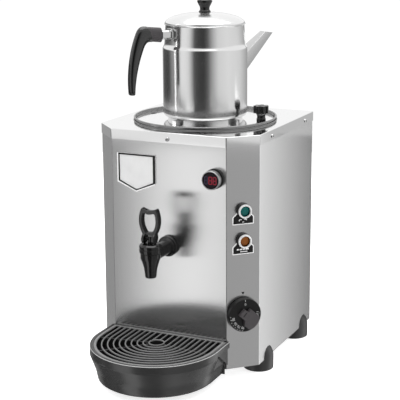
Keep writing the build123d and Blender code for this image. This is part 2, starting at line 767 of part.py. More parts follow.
lid_under = lid_knob_plan.offset(-lid_sheet)
with BuildPart() as lid_knob_stud:
    with Locations(lid_under.offset(-stud_nut_height - 1)):
        Cylinder(stud_radius, stud_nut_height + 1 + lid_sheet + 0.6 * lid_knob_stem, align=above)
    with BuildSketch(lid_under):
        hexagon(stud_nut_hex)
        Circle(stud_radius + slip_gap, mode=Mode.SUBTRACT)
    extrude(amount=-stud_nut_height)
lid_knob_stud.part.label = "lid_knob_stud"
export_step(lid_knob_stud.part, "parts/lid_knob_stud.step")

# ------------------------------------------------------------------ teapot

lateral = (spout_y, -spout_x, 0)


def pot_point(s, z):
    """A point in the teapot's middle plane, s along the spout's direction from its axis."""
    return (s * spout_x, axis_y + s * spout_y, z)


def spout_wedge(inset):
    """The spout's wedge from inside the pot to its mouth, all its sides moved inwards by inset."""
    inside_s = 0.9 * pot_radius
    back = pot_radius - inside_s
    ridge_slope = (spout_mouth_z - spout_root_top_z) / (spout_mouth_s - pot_radius)
    keel_slope = (spout_tip_z - spout_root_keel_z) / (spout_tip_s - pot_radius)
    ridge_z, keel_z = spout_root_top_z - back * ridge_slope, spout_root_keel_z - back * keel_slope
    mouth_length = sqrt((spout_tip_s - spout_mouth_s) ** 2 + (spout_tip_z - spout_mouth_z) ** 2)
    drop = (spout_mouth_z - spout_tip_z) / mouth_length
    run = (spout_tip_s - spout_mouth_s) / mouth_length
    root = Plane(origin=pot_point(inside_s, 0), x_dir=lateral, z_dir=(-spout_x, -spout_y, 0))
    mouth = Plane(
        origin=pot_point(spout_mouth_s, spout_mouth_z),
        x_dir=lateral,
        z_dir=(-drop * spout_x, -drop * spout_y, -run),
    )
    with BuildPart() as wedge:
        with BuildSketch(root):
            Polygon((-spout_root_half, ridge_z), (spout_root_half, ridge_z), (0, keel_z), align=None)
            if inset:
                offset(amount=-inset, kind=Kind.INTERSECTION, mode=Mode.REPLACE)
        with BuildSketch(mouth):
            Polygon((-spout_mouth_half, 0), (spout_mouth_half, 0), (0, mouth_length), align=None)
            if inset:
                offset(amount=-inset, kind=Kind.INTERSECTION, mode=Mode.REPLACE)
        loft(ruled=True)
    return wedge.part


spout_outside, spout_inside = spout_wedge(0), spout_wedge(pot_wall)

pot_lip_z = pot_rim_z - pot_wall
with BuildPart() as teapot_body:
    with BuildSketch(tank_half):
        with BuildLine():
            FilletPolyline(
                (0, pot_z),
                (pot_radius, pot_z),
                (pot_radius, pot_shoulder_z),
                (pot_neck_foot_radius, pot_neck_foot_z),
                (pot_neck_top_radius, pot_lip_z),
                (pot_rim_radius, pot_lip_z),
                radius=[pot_corner, 2 * pot_wall, 1.5 * pot_wall, pot_wall],
            )
            offset(amount=pot_wall, side=Side.LEFT)
        make_face()
    revolve(axis=tank_axis)
    add(spout_inside, mode=Mode.SUBTRACT)
teapot_body.part.label = "teapot_body"
export_step(teapot_body.part, "parts/teapot_body.step")

with BuildPart() as teapot_spout:
    add(spout_outside)
    add(spout_inside, mode=Mode.SUBTRACT)
    with BuildSketch(tank_plan.offset(pot_z)):
        Circle(pot_radius + curve_gap)
    extrude(amount=pot_rim_z - pot_z, mode=Mode.SUBTRACT)
teapot_spout.part.label = "teapot_spout"
export_step(teapot_spout.part, "parts/teapot_spout.step")

handle_end = Plane(origin=pot_point(-handle_start, 0), x_dir=(spout_y, -spout_x, 0), z_dir=(-spout_x, -spout_y, 0))
with BuildPart() as handle_bracket:
    with BuildSketch(handle_end):
        with Locations((0, bracket_z)):
            RectangleRounded(handle_width - 1, bracket_height, bracket_round)
    extrude(amount=-handle_start / 3)
    with BuildSketch(tank_half):
        with BuildLine():
            Polyline(
                (0, pot_neck_foot_z),
                (pot_neck_foot_radius + curve_gap, pot_neck_foot_z),
                (pot_neck_top_radius + curve_gap, pot_lip_z),
                (0, pot_lip_z),
                close=True,
            )
        make_face()
    revolve(axis=tank_axis, mode=Mode.SUBTRACT)
    with BuildSketch(handle_end):
        with Locations((0, bracket_z)):
            Rectangle(tang_size, tang_size)
    extrude(amount=tang_length)
    with BuildSketch(handle_end):
        with Locations((0, bracket_z)):
            Circle(screw_radius + slip_gap)
    extrude(amount=2 * tang_length, mode=Mode.SUBTRACT)
handle_bracket.part.label = "handle_bracket"
export_step(handle_bracket.part, "parts/handle_bracket.step")



def handle_point(reach, rise):
    return (handle_start + reach, bracket_z + rise)


handle_foot = handle_point(0, -handle_foot_drop)
handle_elbow = handle_point(handle_elbow_reach, -handle_elbow_drop)
handle_hollow = handle_point(handle_hollow_reach, -handle_hollow_drop)
handle_inner_tip = handle_point(handle_inner_tip_reach, -handle_inner_tip_drop)
handle_outer_tip = handle_point(handle_outer_tip_reach, -handle_outer_tip_drop)
handle_back = handle_point(handle_back_reach, -handle_back_drop)
handle_knee = handle_point(handle_knee_reach, handle_knee_rise)
handle_head = handle_point(0, handle_head_rise)
handle_corners = {
    handle_foot: handle_end_round,
    handle_elbow: handle_elbow_round,
    handle_inner_tip: handle_tip_round,
    handle_outer_tip: handle_tip_round,
    handle_knee: handle_knee_round,
    handle_head: handle_end_round,
}
with BuildPart() as teapot_handle:
    with BuildSketch(handle_plane) as handle_side:
        with BuildLine():
            Line(handle_foot, handle_elbow)
            ThreePointArc(handle_elbow, handle_hollow, handle_inner_tip)
            Line(handle_inner_tip, handle_outer_tip)
            ThreePointArc(handle_outer_tip, handle_back, handle_knee)
            Polyline(handle_knee, handle_head, handle_foot)
        make_face()
        for handle_corner, corner_radius in handle_corners.items():
            fillet(handle_side.vertices().sort_by_distance(handle_corner)[0], radius=corner_radius)
    extrude(amount=handle_width / 2, both=True)
    sides = teapot_handle.faces().sort_by(Axis((0, 0, 0), handle_plane.z_dir))
    fillet(sides[0].edges() + sides[-1].edges(), radius=handle_round)
    with BuildSketch(handle_end):
        with Locations((0, bracket_z)):
            Rectangle(tang_size + 2 * slip_gap, tang_size + 2 * slip_gap)
    extrude(amount=tang_length + slip_gap, mode=Mode.SUBTRACT)
    with BuildSketch(handle_end):
        with Locations((0, bracket_z)):
            Circle(screw_radius + slip_gap)
    extrude(amount=handle_start, mode=Mode.SUBTRACT)
    with BuildSketch(handle_end.offset(2 * tang_length)):
        with Locations((0, bracket_z)):
            Circle(screw_head_radius + hole_gap)
    extrude(amount=handle_start, mode=Mode.SUBTRACT)
teapot_handle.part.label = "teapot_handle"
export_step(teapot_handle.part, "parts/teapot_handle.step")

with BuildPart() as handle_screw:
    with Locations(handle_end.offset(2 * tang_length).location * Location((0, bracket_z, 0))):
        Cylinder(screw_head_radius, screw_head_height, align=above)
        Cylinder(screw_radius, 1.6 * tang_length, align=below)
handle_screw.part.label = "handle_screw"
export_step(handle_screw.part, "parts/handle_screw.step")

skirt_radius = pot_neck_top_radius - pot_wall - pot_lid_skirt_gap
lid_under_z = pot_lid_top_z - pot_wall
with BuildPart() as teapot_lid:
    with BuildSketch(tank_half):
        with BuildLine():
            TangentArc((0, pot_lid_top_z), (pot_lid_crown_radius, pot_lid_crown_z), tangent=(1, 0))
            crown_slope = 2 * (pot_lid_crown_z - pot_lid_top_z) / pot_lid_crown_radius
            TangentArc(
                (pot_lid_crown_radius, pot_lid_crown_z),
                (pot_lid_radius, pot_lid_edge_z),
                tangent=(1, crown_slope),
            )
            Polyline(
                (pot_lid_radius, pot_lid_edge_z),
                (pot_lid_radius, pot_rim_z),
                (skirt_radius, pot_rim_z),
                (skirt_radius, pot_rim_z - pot_lid_skirt),
                (skirt_radius - pot_wall, pot_rim_z - pot_lid_skirt),
                (skirt_radius - pot_wall, pot_lid_edge_z),
            )
            TangentArc(
                (pot_lid_crown_radius, pot_lid_crown_z - pot_wall),
                (skirt_radius - pot_wall, pot_lid_edge_z),
                tangent=(1, crown_slope),
            )
            TangentArc((0, lid_under_z), (pot_lid_crown_radius, pot_lid_crown_z - pot_wall), tangent=(1, 0))
            Line((0, lid_under_z), (0, pot_lid_top_z))
        make_face()
    revolve(axis=tank_axis)
    with BuildSketch(tank_plan.offset(pot_lid_top_z)):
        Circle(screw_radius + hole_gap)
    extrude(amount=-2 * pot_wall, mode=Mode.SUBTRACT)
teapot_lid.part.label = "teapot_lid"
export_step(teapot_lid.part, "parts/teapot_lid.step")

with BuildPart() as teapot_lid_knob:
    with BuildSketch(Plane(origin=(0, axis_y, pot_lid_top_z), x_dir=(1, 0, 0), z_dir=(0, -1, 0))):
        base_z, waist_z = 0.06 * pot_knob_height, 0.32 * pot_knob_height
        shoulder_z, rim_z = 0.75 * pot_knob_height, 0.88 * pot_knob_height
        with BuildLine():
            Polyline((0, pot_knob_height), (0, 0), (pot_knob_base_radius, 0), (pot_knob_base_radius, base_z))
            TangentArc((pot_knob_waist_radius, waist_z), (pot_knob_base_radius, base_z), tangent=(0, -1))
            TangentArc((pot_knob_waist_radius, waist_z), (pot_knob_top_radius, shoulder_z), tangent=(0, 1))
            Line((pot_knob_top_radius, shoulder_z), (pot_knob_top_radius, rim_z))
            TangentArc(
                (pot_knob_top_radius, rim_z), (0.7 * pot_knob_top_radius, pot_knob_height), tangent=(0, 1)
            )
            Line((0.7 * pot_knob_top_radius, pot_knob_height), (0, pot_knob_height))
        make_face()
    revolve(axis=tank_axis)
    with BuildSketch(tank_plan.offset(pot_lid_top_z)):
        Circle(screw_radius + slip_gap)
    extrude(amount=2 * screw_length, mode=Mode.SUBTRACT)
teapot_lid_knob.part.label = "teapot_lid_knob"
export_step(teapot_lid_knob.part, "parts/teapot_lid_knob.step")

with BuildPart() as teapot_lid_screw:
    with Locations(tank_plan.offset(lid_under_z - curve_gap)):
        Cylinder(screw_head_radius, screw_head_height, align=below)
        Cylinder(screw_radius, 2 * screw_length, align=above)
teapot_lid_screw.part.label = "teapot_lid_screw"
export_step(teapot_lid_screw.part, "parts/teapot_lid_screw.step")

# ------------------------------------------------------------------ tap

collar_start = tap_gasket_length
with BuildPart() as tap_body:
    with BuildSketch(tap_half):
        with BuildLine():
            lip_z = nozzle_bottom_z + nozzle_lip_height
            cup_z = tap_waist_top_z + tap_cup_radius - tap_waist_radius
            Polyline(
                (0, bonnet_z),
                (0, nozzle_bottom_z),
                (nozzle_lip_radius - nozzle_lip_height, nozzle_bottom_z),
                (nozzle_lip_radius, lip_z),
                (nozzle_neck_radius, nozzle_neck_z),
            )
            ThreePointArc(
                (nozzle_neck_radius, nozzle_neck_z),
                (nozzle_swell_radius, nozzle_swell_z),
                (tap_waist_radius, tap_waist_foot_z),
            )
            Polyline(
                (tap_waist_radius, tap_waist_foot_z),
                (tap_waist_radius, tap_waist_top_z),
                (tap_cup_radius, cup_z),
                (tap_cup_radius, bonnet_z),
                (0, bonnet_z),
            )
        make_face()
    revolve(axis=tap_axis)
    with BuildSketch(front.offset(collar_start)):
        with Locations((0, shank_z)):
            Circle(shank_radius)
    extrude(amount=tap_reach - collar_start)
    with BuildSketch(front.offset(collar_start)):
        with Locations((0, shank_z)):
            Circle(collar_radius)
    extrude(amount=collar_length)
    collar_rims = tap_body.edges().filter_by(GeomType.CIRCLE).sort_by(SortBy.RADIUS)[-2:]
    fillet(collar_rims.sort_by(Axis.Y)[0], radius=collar_round)
    with BuildSketch(front.offset(collar_start)):
        with Locations((0, shank_z)):
            Circle(shank_thread_radius)
    extrude(amount=-collar_start - shank_inside)
    with BuildSketch(tap_half):
        Polygon(
            (0, bonnet_z),
            (chamber_radius, bonnet_z),
            (chamber_radius, tap_seat_z),
            (tap_seat_bore, tap_seat_z),
            (tap_seat_bore, tap_seat_z - tap_seat_bore),
            (nozzle_bore, nozzle_bottom_z),
            (0, nozzle_bottom_z),
            align=None,
        )
    revolve(axis=tap_axis, mode=Mode.SUBTRACT)
    with BuildSketch(front.offset(-shank_inside)):
        with Locations((0, shank_z)):
            Circle(shank_bore)
    extrude(amount=shank_inside + tap_reach, mode=Mode.SUBTRACT)
tap_body.part.label = "tap_body"
export_step(tap_body.part, "parts/tap_body.step")

with BuildPart() as tap_gasket:
    with BuildSketch(front):
        with Locations((0, shank_z)):
            Circle(collar_radius - 1)
            Circle(shank_thread_radius + slip_gap, mode=Mode.SUBTRACT)
    extrude(amount=tap_gasket_length)
tap_gasket.part.label = "tap_gasket"
export_step(tap_gasket.part, "parts/tap_gasket.step")

with BuildPart() as tap_shank_nut:
    with BuildSketch(front.offset(-sheet)):
        with Locations((0, shank_z)):
            hexagon(3 * shank_thread_radius)
            Circle(shank_thread_radius + slip_gap, mode=Mode.SUBTRACT)
    extrude(amount=-collar_length)
tap_shank_nut.part.label = "tap_shank_nut"
export_step(tap_shank_nut.part, "parts/tap_shank_nut.step")

with BuildPart() as tap_bonnet:
    with BuildSketch(tap_half):
        Polygon(
            (bonnet_radius, bonnet_z),
            (bonnet_radius, bonnet_edge_z),
            (bonnet_top_radius, bonnet_top_z),
            (stem_radius + stem_clearance, bonnet_top_z),
            (stem_radius + stem_clearance, bonnet_ceiling_z),
            (bonnet_recess_radius, bonnet_ceiling_z),
            (bonnet_recess_radius, bonnet_boss_z),
            (chamber_radius - slip_gap, bonnet_boss_z),
            (chamber_radius - slip_gap, bonnet_z),
            align=None,
        )
    revolve(axis=tap_axis)
tap_bonnet.part.label = "tap_bonnet"
export_step(tap_bonnet.part, "parts/tap_bonnet.step")

cup_foot_z = tap_seat_z + seat_gap
disc_z = cup_foot_z + seat_cup_height
disc_radius = seat_cup_radius - 1
disc_thickness = 2.0
barb_radius, barb_height = 3.0, 3.0
with BuildPart() as tap_plunger:
    with BuildSketch(tap_half):
        Polygon(
            (0, disc_z - barb_height),
            (barb_radius, disc_z - barb_height),
            (barb_radius, disc_z),
            (disc_radius, disc_z),
            (disc_radius, disc_z + disc_thickness),
            (stem_radius, disc_z + disc_thickness),
            (stem_radius, pin_z + stem_radius),
            (0, pin_z + stem_radius),
            align=None,
        )
    revolve(axis=tap_axis)
    with BuildSketch(tap_side):
        with Locations((0, pin_z)):
            Circle(pin_radius + 0.02)
    extrude(amount=2 * stem_radius, both=True, mode=Mode.SUBTRACT)
tap_plunger.part.label = "tap_plunger"
export_step(tap_plunger.part, "parts/tap_plunger.step")

with BuildPart() as tap_seat_cup:
    with BuildSketch(tap_half):
        Polygon(
            (0, cup_foot_z),
            (seat_cup_radius, cup_foot_z),
            (seat_cup_radius, disc_z),
            (barb_radius + curve_gap, disc_z),
            (barb_radius + curve_gap, disc_z - barb_height),
            (0, disc_z - barb_height),
            align=None,
        )
    revolve(axis=tap_axis)
tap_seat_cup.part.label = "tap_seat_cup"
export_step(tap_seat_cup.part, "parts/tap_seat_cup.step")

spring_foot_z = disc_z + disc_thickness + spring_wire_radius + curve_gap
spring_height = bonnet_ceiling_z - curve_gap - spring_wire_radius - spring_foot_z
with BuildPart() as tap_spring:
    with BuildLine(Plane(origin=(0, tap_y, spring_foot_z))):
        coil = Helix(pitch=spring_height / spring_turns, height=spring_height, radius=spring_radius)
    with BuildSketch(Plane(origin=coil @ 0, z_dir=coil % 0)):
        Circle(spring_wire_radius)
    sweep(path=coil, is_frenet=True)
tap_spring.part.label = "tap_spring"
export_step(tap_spring.part, "parts/tap_spring.step")

with BuildPart() as tap_pin:
    with BuildSketch(tap_side):
        with Locations((0, pin_z)):
            Circle(pin_radius)
    extrude(amount=fork_width / 2, both=True)
tap_pin.part.label = "tap_pin"
export_step(tap_pin.part, "parts/tap_pin.step")

# The lever: a fork whose heel rolls on the bonnet, and a lyre-shaped loop above it.
loop_foot_z = pin_z + heel_radius
loop_top_z = loop_foot_z + loop_height
loop_belly_z = loop_foot_z + 0.53 * loop_height
eye_half = loop_half - loop_limb
eye_top_half, eye_top_z = loop_horn_half - 0.5 * loop_limb, loop_top_z - 1.45 * loop_limb
eye_foot_half, eye_foot_z = 0.75 * loop_limb, loop_foot_z + 0.4 * loop_limb
with BuildPart() as tap_lever:
    with BuildSketch(tap_half) as loop:
        with BuildLine():
            for side in (-1, 1):
                ThreePointArc(
                    (side * fork_width / 2, loop_foot_z),
                    (side * loop_half, loop_belly_z),
                    (side * loop_horn_half, loop_top_z),
                )
            ThreePointArc(
                (-loop_horn_half, loop_top_z), (0, loop_top_z - loop_dip), (loop_horn_half, loop_top_z)
            )
            Polyline(
                (-fork_width / 2, loop_foot_z),
                (-fork_width / 2, pin_z),
                (fork_width / 2, pin_z),
                (fork_width / 2, loop_foot_z),
            )
        make_face()
        fillet(loop.vertices().group_by(Axis.Y)[-1], radius=0.42 * loop_limb)
        with BuildLine():
            for side in (-1, 1):
                ThreePointArc(
                    (side * eye_foot_half, eye_foot_z),
                    (side * eye_half, loop_belly_z),
                    (side * eye_top_half, eye_top_z),
                )
            ThreePointArc((-eye_top_half, eye_top_z), (0, eye_top_z - loop_dip / 3), (eye_top_half, eye_top_z))
            ThreePointArc(
                (-eye_foot_half, eye_foot_z), (0, eye_foot_z - loop_limb / 4), (eye_foot_half, eye_foot_z)
            )
        make_face(mode=Mode.SUBTRACT)
        fillet(loop.face().inner_wires()[0].vertices().group_by(Axis.Y)[-1], radius=0.28 * loop_limb)
        fillet(loop.face().inner_wires()[0].vertices().group_by(Axis.Y)[0], radius=0.2 * loop_limb)
    extrude(amount=loop_depth / 2, both=True)
    fillet(tap_lever.faces().filter_by(Axis.Y).edges(), radius=loop_round)
    with BuildSketch(tap_side.offset(-fork_width / 2)):
        with Locations((0, pin_z), (-heel_offset, pin_z)):
            Circle(heel_radius)
        with Locations((0, loop_foot_z + 1)):
            Rectangle(loop_depth, 2)
        make_hull()
    extrude(amount=fork_width)
    with BuildSketch(tap_side.offset(-fork_gap / 2)):
        with Locations((0, pin_z + heel_radius - 0.5)):
            Rectangle(4 * heel_radius, 3 * heel_radius, align=(Align.CENTER, Align.MAX))
    extrude(amount=fork_gap, mode=Mode.SUBTRACT)
    with BuildSketch(tap_side):
        with Locations((0, pin_z)):
            Circle(pin_radius + pin_clearance)
    extrude(amount=fork_width, both=True, mode=Mode.SUBTRACT)
tap_lever.part.label = "tap_lever"
export_step(tap_lever.part, "parts/tap_lever.step")

# ------------------------------------------------------------------ drip tray and grill

tray_back_y = front_y - tray_gap
grill_recess_back = tray_back_y - tray_back_wall
grill_back_y = grill_recess_back - grill_gap
tray_ledge_z = tray_top_z - grill_thickness
tray_axis = Axis((0, tray_y, 0), (0, 0, -1))
tray_half = Plane(origin=(0, tray_y, 0), x_dir=(1, 0, 0), z_dir=(0, -1, 0))


def u_shape(radius, back):
    """A half disc about the tray's centre, carried straight back to y = back."""
    with BuildSketch() as plan:
        with BuildLine():
            ThreePointArc((-radius, tray_y), (0, tray_y - radius), (radius, tray_y))
            Polyline((radius, tray_y), (radius, back), (-radius, back), (-radius, tray_y))
        make_face()
    return plan.sketch


with BuildPart() as drip_tray:
    with BuildSketch(tray_half):
        with BuildLine():
            Polyline(
                (0, tray_floor_z),
                (tray_floor_radius, tray_floor_z),
                (tray_waist_radius, tray_waist_z),
                (tray_flare_radius, tray_band_z),
                (tray_flare_radius, tray_band_z + tray_flare_height),
                (tray_radius, tray_band_z + tray_flare_end),
                (tray_radius, tray_top_z),
                (0, tray_top_z),
                close=True,
            )
        make_face()
    revolve(axis=tray_axis, revolution_arc=180)
    with BuildSketch(tray_half):
        with Locations((0, tray_floor_z)):
            Rectangle(2 * tray_side_half, tray_top_z - tray_floor_z, align=(Align.CENTER, Align.MIN))
        with Locations((0, tray_band_z)):
            Rectangle(2 * tray_radius, tray_top_z - tray_band_z, align=(Align.CENTER, Align.MIN))
    extrude(amount=-(tray_back_y - tray_y))
    # side gussets that carry the band down to the body's face
    with BuildSketch(Plane(origin=(-tray_radius, tray_back_y, 0), x_dir=(0, -1, 0), z_dir=(-1, 0, 0))):
        Polygon(
            (0, tray_band_z), (0, tray_band_z - tray_gusset_drop), (tray_gusset_reach, tray_band_z), align=None
        )
    extrude(amount=-2 * tray_radius)
    bottom_edges = drip_tray.faces().sort_by(Axis.Z)[0].edges()
    fillet(bottom_edges.filter_by(lambda e: e.center().Y < tray_back_y - 1), radius=tray_floor_round)
    # the basin
    with BuildSketch(tray_half):
        Polygon(
            (0, tray_floor_z + tray_wall),
            (tray_floor_radius - tray_wall, tray_floor_z + tray_wall),
            (tray_waist_radius - tray_wall, tray_waist_z),
            (tray_ledge_radius, tray_ledge_z - tray_ledge_skirt),
            (tray_ledge_radius, tray_ledge_z),
            (0, tray_ledge_z),
            align=None,
        )
    revolve(axis=tray_axis, revolution_arc=180, mode=Mode.SUBTRACT)
    with BuildSketch(tray_half):
        with Locations((0, tray_floor_z + tray_wall)):
            Rectangle(
                2 * (tray_side_half - tray_wall),
                tray_ledge_z - tray_floor_z - tray_wall,
                align=(Align.CENTER, Align.MIN),
            )
    extrude(amount=-(grill_recess_back - tray_ledge_depth - tray_y), mode=Mode.SUBTRACT)
    # the recess that the grill drops into
    with BuildSketch(Plane.XY.offset(tray_ledge_z)):
        add(u_shape(tray_ledge_radius + tray_ledge_depth - grill_gap, grill_recess_back))
    extrude(amount=grill_thickness, mode=Mode.SUBTRACT)
    with BuildSketch(Plane(origin=(0, tray_back_y - tray_back_wall / 2, 0), x_dir=(1, 0, 0), z_dir=(0, 1, 0))):
        with Locations((-hook_x, -hook_z), (hook_x, -hook_z)):
            Rectangle(hook_width, hook_thickness)
    extrude(amount=hook_length + tray_back_wall / 2)
drip_tray.part.label = "drip_tray"
export_step(drip_tray.part, "parts/drip_tray.step")

grill_radius = tray_ledge_radius + tray_ledge_depth - 2 * grill_gap
slot_back = grill_back_y - grill_back_border
with BuildPart() as drip_grill:
    with BuildSketch(Plane.XY.offset(tray_ledge_z)):
        add(u_shape(grill_radius, grill_back_y))
    extrude(amount=grill_thickness - 0.2)
    with BuildSketch(Plane.XY.offset(tray_ledge_z)):
        for ring in reversed(range(grill_rings)):
            slot_inner = grill_hub_radius + ring * grill_pitch
            add(u_shape(slot_inner + grill_slot, slot_back))
            add(u_shape(slot_inner, slot_back), mode=Mode.SUBTRACT)
        # two short slots behind the hole, either side of the middle rib
        add(u_shape(grill_hole_radius, slot_back))
        rib = grill_pitch - grill_slot
        with Locations((0, tray_y)):
            Circle(grill_hub_radius, mode=Mode.SUBTRACT)
            Rectangle(rib, grill_radius, align=(Align.CENTER, Align.MIN), mode=Mode.SUBTRACT)
            Circle(grill_hole_radius)
            for tie_angle in grill_tie_angles:
                with PolarLocations(grill_hub_radius - 1, 1, start_angle=tie_angle):
                    Rectangle(grill_radius, grill_tie_width, align=(Align.MIN, Align.CENTER), mode=Mode.SUBTRACT)
    extrude(amount=grill_thickness, mode=Mode.SUBTRACT)
drip_grill.part.label = "drip_grill"
export_step(drip_grill.part, "parts/drip_grill.step")

# ------------------------------------------------------------------ thermometer

with BuildPart() as thermometer_housing:
    with BuildSketch(front.offset(meter_ring_length)):
        with Locations((meter_x, meter_z)):
            Circle(meter_radius)
    extrude(amount=meter_reach - meter_ring_length)
    chamfer(thermometer_housing.faces().sort_by(Axis.Y)[0].edges(), length=1)
    with BuildSketch(front.offset(meter_reach)):
        with Locations((meter_x, meter_z)):
            Circle(meter_face_radius + slip_gap)
    extrude(amount=-meter_face_depth, mode=Mode.SUBTRACT)
    with BuildSketch(front.offset(meter_ring_length)):
        with Locations((meter_x, meter_z)):
            Circle(meter_barrel_radius)
    extrude(amount=-meter_ring_length - meter_barrel_length)
thermometer_housing.part.label = "thermometer_housing"
export_step(thermometer_housing.part, "parts/thermometer_housing.step")

with BuildPart() as thermometer_gasket:
    with BuildSketch(front):
        with Locations((meter_x, meter_z)):
            Circle(meter_ring_radius)
            Circle(meter_barrel_radius + slip_gap, mode=Mode.SUBTRACT)
    extrude(amount=meter_ring_length)
thermometer_gasket.part.label = "thermometer_gasket"
export_step(thermometer_gasket.part, "parts/thermometer_gasket.step")

with BuildPart() as thermometer_window:
    with BuildSketch(front.offset(meter_reach - meter_face_depth)):
        with Locations((meter_x, meter_z)):
            Circle(meter_face_radius)
    extrude(amount=meter_face_thickness)
thermometer_window.part.label = "thermometer_window"
export_step(thermometer_window.part, "parts/thermometer_window.step")

with BuildPart() as thermometer_nut:
    with BuildSketch(front.offset(-sheet)):
        with Locations((meter_x, meter_z)):
            hexagon(2 * meter_nut_radius, turn=30)
            Circle(meter_barrel_radius + slip_gap, mode=Mode.SUBTRACT)
    extrude(amount=-meter_nut_length)
thermometer_nut.part.label = "thermometer_nut"
export_step(thermometer_nut.part, "parts/thermometer_nut.step")

# ------------------------------------------------------------------ pilot lamps

lamps_at = [corner.location * Location((0, lamp_z, 0)) for lamp_z in lamp_zs]
with BuildPart() as lamp_bezels:
    with Locations(*lamps_at):
        Cylinder(lamp_radius, lamp_reach - lamp_bevel, align=above)
    with Locations(*[lamp_at * Location((0, 0, lamp_reach - lamp_bevel)) for lamp_at in lamps_at]):
        Cone(lamp_radius, lamp_radius - lamp_bevel, lamp_bevel, align=above)
    with Locations(*lamps_at):
        Cylinder(lamp_barrel_radius, lamp_barrel_length, align=below)
    with Locations(*[lamp_at * Location((0, 0, lamp_reach)) for lamp_at in lamps_at]):
        Cylinder(lamp_recess_radius, lamp_recess_depth, align=below, mode=Mode.SUBTRACT)
lamp_bezels.part.label = "lamp_bezels"
export_step(lamp_bezels.part, "parts/lamp_bezels.step")

for lens_name, lamp_at in zip(("green_lamp_lens", "amber_lamp_lens"), lamps_at):
    with BuildPart() as lens:
        with Locations(lamp_at * Location((0, 0, lamp_reach - lamp_recess_depth))):
            Cylinder(lamp_lens_radius, lamp_lens_thickness, align=above)
    lens.part.label = lens_name
    export_step(lens.part, f"parts/{lens_name}.step")

with BuildPart() as lamp_nuts:
    with BuildSketch(corner.offset(-sheet)):
        with Locations(*[(0, lamp_z) for lamp_z in lamp_zs]):
            hexagon(lamp_nut_hex)
            Circle(lamp_barrel_radius + slip_gap, mode=Mode.SUBTRACT)
    extrude(amount=-lamp_nut_length)
lamp_nuts.part.label = "lamp_nuts"
export_step(lamp_nuts.part, "parts/lamp_nuts.step")

with BuildPart() as lamp_labels:
    with BuildSketch(corner):
        for lamp_z in lamp_zs:
            foot_z = lamp_z - label_drop
            Polygon(
                (-label_half, foot_z),
                (label_half, foot_z),
                (label_half, foot_z + label_shoulder),
                (label_neck_half, foot_z + label_rise),
                (-label_neck_half, foot_z + label_rise),
                (-label_half, foot_z + label_shoulder),
                align=None,
            )
            with Locations((0, lamp_z)):
                Circle(lamp_radius + label_lamp_gap, mode=Mode.SUBTRACT)
    extrude(amount=label_thickness)
lamp_labels.part.label = "lamp_labels"
export_step(lamp_labels.part, "parts/lamp_labels.step")

# ------------------------------------------------------------------ thermostat

screws_across = [(side * thermostat_screw_spacing / 2, thermostat_z) for side in (-1, 1)]
with BuildPart() as thermostat_body:
    with BuildSketch(corner.offset(-sheet)):
        with Locations((0, thermostat_z)):
            Rectangle(thermostat_size, thermostat_height)
    extrude(amount=-thermostat_depth)
    with BuildSketch(corner.offset(-sheet)):
        with Locations((0, thermostat_z)):
            Circle(thermostat_boss_radius)
    extrude(amount=sheet)
    with BuildSketch(corner):
        with Locations((0, thermostat_z)):
            Circle(spindle_radius + spindle_clearance)
    extrude(amount=-spindle_inside - 1, mode=Mode.SUBTRACT)
    with BuildSketch(corner):
        with Locations(*screws_across):
            Circle(screw_radius + slip_gap)
    extrude(amount=-1.5 * screw_length, mode=Mode.SUBTRACT)
thermostat_body.part.label = "thermostat_body"
export_step(thermostat_body.part, "parts/thermostat_body.step")

with BuildPart() as thermostat_screws:
    with Locations(*[corner.location * Location((x, z, 0)) for x, z in screws_across]):
        body_screw(screw_length)
thermostat_screws.part.label = "thermostat_screws"
export_step(thermostat_screws.part, "parts/thermostat_screws.step")


def spindle_section(clearance, mode=Mode.ADD):
    """The spindle's D-shaped end, with a clearance all round."""
    with Locations((0, thermostat_z)):
        Circle(spindle_radius + clearance, mode=mode)
    with Locations((0, thermostat_z + spindle_flat + clearance)):
        Rectangle(3 * spindle_radius, spindle_radius, align=(Align.CENTER, Align.MIN), mode=Mode.SUBTRACT)


with BuildPart() as thermostat_spindle:
    with BuildSketch(corner.offset(-spindle_inside)):
        with Locations((0, thermostat_z)):
            Circle(spindle_radius)
    extrude(amount=spindle_inside + dial_gap)
    with BuildSketch(corner.offset(dial_gap)):
        spindle_section(0)
    extrude(amount=spindle_outside - dial_gap)
thermostat_spindle.part.label = "thermostat_spindle"
export_step(thermostat_spindle.part, "parts/thermostat_spindle.step")

dial_top = dial_gap + dial_height
with BuildPart() as thermostat_knob:
    with BuildSketch(corner.offset(dial_gap)):
        with Locations((0, thermostat_z)):
            Circle(dial_radius)
    extrude(amount=dial_height)
    rim_edges = thermostat_knob.edges().filter_by(GeomType.CIRCLE).sort_by(Axis((0, 0, 0), corner.z_dir))
    chamfer(rim_edges[-1], length=2)
    with BuildSketch(corner.offset(dial_top)):
        with Locations((0, thermostat_z)):
            SlotOverall(2 * dial_radius - 6, dial_grip_width, rotation=dial_grip_angle)
    extrude(amount=dial_grip_height)
    grip_edges = thermostat_knob.faces().sort_by(Axis((0, 0, 0), corner.z_dir))[-1].edges()
    fillet(grip_edges, radius=1.5)
    with BuildSketch(corner.offset(dial_gap)):
        with Locations((0, thermostat_z)):
            Circle(dial_hollow_radius)
            Circle(2 * spindle_radius, mode=Mode.SUBTRACT)
    extrude(amount=dial_hollow_depth, mode=Mode.SUBTRACT)
    with BuildSketch(corner.offset(dial_gap)):
        spindle_section(curve_gap)
    extrude(amount=spindle_outside - dial_gap + slip_gap, mode=Mode.SUBTRACT)
thermostat_knob.part.label = "thermostat_knob"
export_step(thermostat_knob.part, "parts/thermostat_knob.step")

